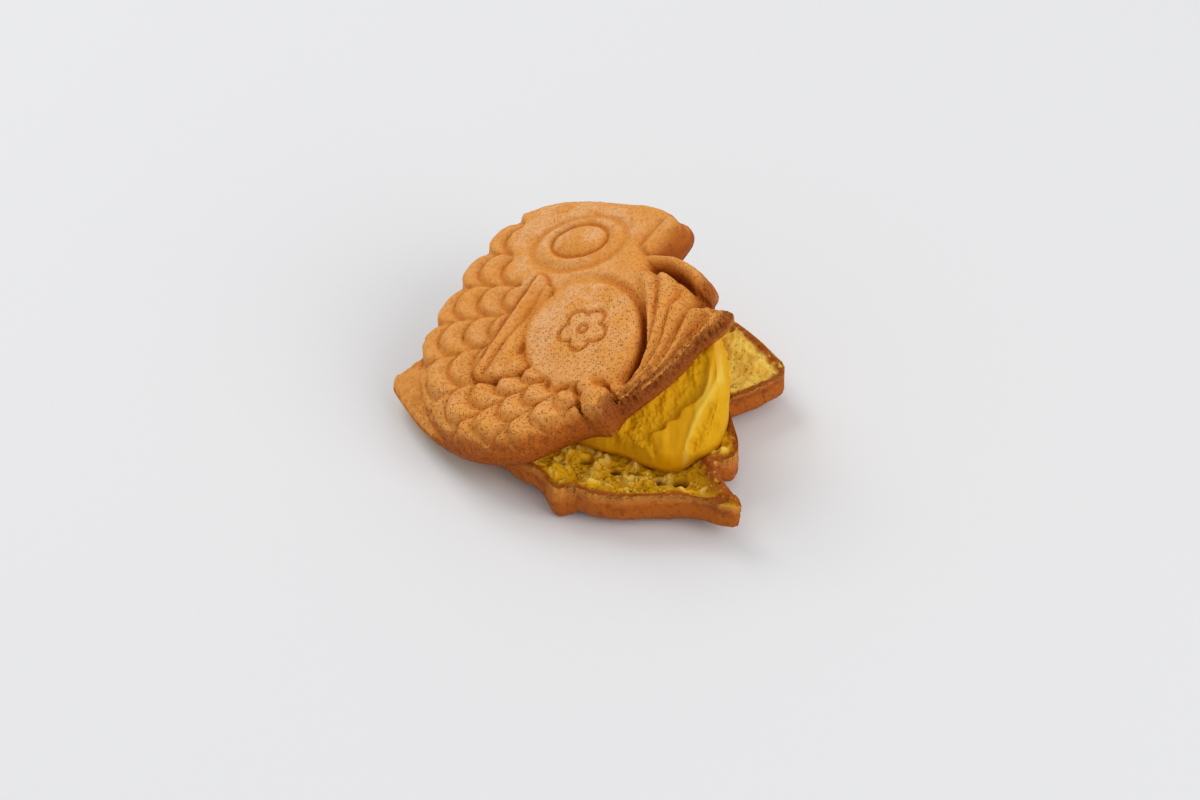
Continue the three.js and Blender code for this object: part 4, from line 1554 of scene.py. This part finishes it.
@dataclass
class Filling:
    """Sweet paste on the crumb, drawn up under the upper half with one smooth scooped face, in millimetres."""

    edge: Points = field(default_factory=lambda: [
        (37, -17), (37.5, -6), (33, 6), (21, 13), (6, 12), (-8, 3), (-13, -10), (-10, -24),
        (-2, -30), (6, -32.8), (13.5, -37.6), (21, -40.2), (27.5, -38.6), (33, -33.4), (36.2, -26),
    ])
    slab_edge: Points = field(default_factory=lambda: [
        (28.5, -28.1), (22.6, -30.3), (21.6, -31.7), (18.6, -32), (18, -33.2), (14.2, -33.6),
        (13.6, -35.1), (15.4, -37.4), (16.2, -40.9), (24.4, -41.8), (25.4, -37.6), (27.6, -34.4),
        (29.8, -31.6), (33, -28), (35.2, -23.4), (34.5, -14), (28, -14), (29.4, -22),
    ])
    middle: Pair = (13, -16)
    cells: int = 96
    packing: float = 1.2
    seat_gap: float = 0.5
    roof_gap: float = 1.0
    mound_height: float = 40
    mound_shoulder: float = 16
    face_slopes: Pair = (0.25, 0.98)
    slab_lift: float = 2.0
    fold_lift: float = 0.8
    torn_lumps: tuple[Triple, ...] = ((4.6, 9.0, 1.1), (1.5, 10.0, 0.4))

    def roof(self, upper: UpperHalf, x: np.ndarray, y: np.ndarray) -> np.ndarray:
        """Height of the upper half's hollow.

        Args:
            upper: the upper half.
            x, y: points on the table, in millimetres.

        Returns:
            One height for each point.
        """
        height = LEANING.height(x, y)
        for _ in range(6):
            height = LEANING.height(x, y, upper.hollow(*LEANING.shadow(x, y, height)))
        return height

    def fold(self, x: np.ndarray, y: np.ndarray) -> np.ndarray:
        """Share of the slab's edge that is folded up."""
        return ramp(x - 0.5 * y, 41, 44)

    def front(self, x: np.ndarray, y: np.ndarray, slab: np.ndarray) -> np.ndarray:
        """Height of the open front face, with the scooped slab standing out of it.

        Args:
            x, y: points on the table, in millimetres.
            slab: depth of each point inside the slab.

        Returns:
            One height for each point.
        """
        rise = 9 + self.face_slopes[1] * (y + 43) + self.face_slopes[0] * (x - 20)
        lift = self.slab_lift * ramp(slab, -0.4, 0.9)
        return rise + lift + self.fold_lift * bell(slab - 1.2, 1.1) * self.fold(x, y)

    def build(self, upper: UpperHalf, lower: LowerHalf, paste: bpy.types.Material) -> bpy.types.Object:
        """Make the filling.

        Args:
            upper: the half that lies over it.
            lower: the half that it lies on.
            paste: its finish.

        Returns:
            The finished piece.
        """
        skin = Lattice(self.cells)
        edge = smooth_curve(self.edge, 56, True)
        x, y = skin.spread(edge, self.middle, self.packing)
        low = lower.crumb_height(x, y) + self.seat_gap
        depth = depth_in(edge, x, y)
        mound = low + self.mound_height * shoulder(depth, self.mound_shoulder, 1.7)
        slab = depth_in(smooth_curve(self.slab_edge, 96, True), x, y)
        face = self.front(x, y, slab)
        z = np.maximum(np.minimum(np.minimum(mound, face), self.roof(upper, x, y) - self.roof_gap), low)
        z = np.where(skin.over, z, low)
        scooped = ramp(slab, -0.2, 1.0)
        place = np.c_[x, y, z]
        mesh = skin.mesh("filling", place)
        torn = lumps(place, self.torn_lumps, 3)
        smooth = speckle(place * [1, 0.4, 0.4], 3.4, 11.0) * 0.3 + speckle(place, 8.0, 15.0) * 0.6
        push = np.where(skin.over, mix(torn - 0.4, smooth, scooped), 0) * ramp(depth, 0.0, 0.5)
        move(mesh, within(place + normals_of(mesh) * push[:, None], "filling"))
        note_all(mesh, {
            "crumbled": np.where(skin.over, (1 - scooped) * (1 - 0.6 * ramp(torn, -0.4, 1.0)), 1),
            "pale": np.where(skin.over, bell(slab - 1.0, 0.9) * self.fold(x, y) * 0.9, 0),
        })
        made = piece("filling_paste", mesh, [paste, paste])
        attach(made, "root")
        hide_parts("filling")
        return made


@dataclass
class CrumbBits:
    """Loose crumbs that broke off along the tear and lie on the lower crumb and the filling."""

    count: int = 90
    sizes: Pair = (0.2, 0.75)
    stretches: Pair = (0.7, 1.25)
    dent: float = 0.6
    sunk: float = 0.45
    drop: float = 0.03
    seed: int = 11
    spread: Points = field(default_factory=lambda: [
        (-6, -24), (4, -27), (14, -26), (26, -21.5), (36, -18.5), (43, -19), (36, -11), (30, -8),
        (24, -10), (10, -10), (0, -12),
    ])

    def add(self, bm: bmesh.types.BMesh, middle: Vector, size: float, lean: list[float], stretch: list[float],
            number: int) -> None:
        """Add one dented, stretched crumb.

        Args:
            bm: where it goes.
            middle: its middle, in metres.
            size: its radius, in millimetres.
            lean: how it is turned.
            stretch: how it is stretched along each axis.
            number: which crumb it is, so that no two are dented alike.
        """
        turn = Matrix.Translation(middle) @ Euler(lean).to_matrix().to_4x4()
        made = bmesh.ops.create_icosphere(bm, subdivisions=2, radius=size * MM, matrix=turn)
        for vert in made["verts"]:
            offset = (vert.co - middle) / MM
            dent = 1 + self.dent * noise.noise(offset * 1.6 / size + Vector((number * 3.1, 0, 0)))
            vert.co = middle + Vector(a * b for a, b in zip(offset, stretch)) * dent * MM

    def build(self, grounds: list[bpy.types.Object], crumb: bpy.types.Material) -> bpy.types.Object:
        """Scatter the crumbs.

        Args:
            grounds: the pieces that the crumbs lie on.
            crumb: their finish.

        Returns:
            The finished piece, all crumbs in one mesh.
        """
        chance = random.Random(self.seed)
        trees = [BVHTree.FromPolygons(
            [v.co.copy() for v in ground.data.vertices], [tuple(f.vertices) for f in ground.data.polygons]
        ) for ground in grounds]
        outline = smooth_curve(self.spread, 80, True)
        low, high = outline.min(axis=0), outline.max(axis=0)
        bm = bmesh.new()
        laid = 0
        while laid < self.count:
            u, v = chance.uniform(low[0], high[0]), chance.uniform(low[1], high[1])
            size = mix(*self.sizes, chance.random() ** 2.5)
            lean = [chance.uniform(0, math.tau) for _ in range(3)]
            stretch = [chance.uniform(*self.stretches) for _ in range(3)]
            if depth_in(outline, np.array([u]), np.array([v]))[0] < 0:
                continue
            laid += 1
            x, y = LYING.spot(u, v)
            start = Vector(((x + CENTRE_SHIFT[0]) * MM, (y + CENTRE_SHIFT[1]) * MM, self.drop))
            hits = [tree.ray_cast(start, Vector((0, 0, -1)))[0] for tree in trees]
            floor = max((hit.z for hit in hits if hit is not None), default=None)
            if floor is not None:
                middle = Vector((start.x, start.y, floor + size * self.sunk * MM))
                self.add(bm, middle, size, lean, stretch, laid)
        for face in bm.faces:
            face.smooth = True
        mesh = bpy.data.meshes.new("crumb_bits")
        bm.to_mesh(mesh)
        bm.free()
        note_all(mesh, {"pale": 0.45, "moist": 0.3, "shaded_hole": 0.0, "toast": 0.12})
        made = piece("crumb_bits", mesh, [crumb])
        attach(made, "root")
        return made


@dataclass(frozen=True)
class Lamp:
    """Square soft light: where it stands and its side in metres, and its power in watts."""

    name: str
    place: Triple
    size: float
    power: float

    def build(self, target: Vector) -> None:
        """Add the light.

        Args:
            target: the point that it is aimed at, in metres.
        """
        data = bpy.data.lights.new(self.name, "AREA")
        data.size, data.energy = self.size, self.power
        lamp = bpy.data.objects.new(self.name, data)
        lamp.location = self.place
        lamp.rotation_euler = (target - Vector(self.place)).to_track_quat("-Z", "Y").to_euler()
        bpy.context.scene.collection.objects.link(lamp)


@dataclass
class Studio:
    """Pale floor, soft lights and the camera."""

    floor_size: float = 3.0
    floor_tone: Tone = (234, 235, 238)
    lamps: tuple[Lamp, ...] = (
        Lamp("key", (-1.0, 1.2, 1.5), 1.1, 17.0),
        Lamp("fill", (1.3, -0.9, 1.0), 1.4, 14.0),
    )
    target: Triple = (0, 0, 0.02)
    sky: tuple[float, float, float, float] = (1.0, 0.99, 0.97, 1)
    sky_strength: float = 0.56
    camera_place: Triple = (0.00311, -0.61797, 0.55218)
    camera_tilt: float = 48.5
    lens: float = 85.0
    nearest: float = 0.01

    def build(self) -> None:
        """Make the floor, the lights and the camera."""
        bm = bmesh.new()
        bmesh.ops.create_grid(bm, x_segments=1, y_segments=1, size=self.floor_size / 2)
        mesh = bpy.data.meshes.new("floor")
        bm.to_mesh(mesh)
        bm.free()
        floor = piece("floor", mesh, [Dresser("floor", self.floor_tone, 0.55, 0.2).done()])
        for lamp in self.lamps:
            lamp.build(Vector(self.target))
        world = bpy.data.worlds.new("studio")
        world.use_nodes = True
        background = world.node_tree.nodes["Background"]
        background.inputs["Color"].default_value = self.sky
        background.inputs["Strength"].default_value = self.sky_strength
        bpy.context.scene.world = world
        bpy.context.scene.view_settings.view_transform = "Standard"
        camera = bpy.data.objects.new("camera", bpy.data.cameras.new("camera"))
        camera.location = self.camera_place
        camera.rotation_euler = (math.radians(self.camera_tilt), 0, 0)
        camera.data.lens = self.lens
        camera.data.clip_start = self.nearest
        bpy.context.scene.collection.objects.link(camera)
        bpy.context.scene.camera = camera


def main() -> None:
    """Build the cake and its studio, and log each piece's face count."""
    logging.basicConfig(level=logging.INFO, format="%(message)s")
    crust, crumb, paste = CrustFinish().material(), CrumbFinish().material(), PasteFinish().material()
    upper, lower = UpperHalf(), LowerHalf()
    made = [
        upper.build(crust, crumb),
        lower.build(crust, crumb),
        Filling().build(upper, lower, paste),
    ]
    made.append(CrumbBits().build(made[1:3], crumb))
    for part in made:
        LOG.info("%s: %d faces", part.name, len(part.data.polygons))
    Studio().build()


if __name__ == "__main__":
    main()
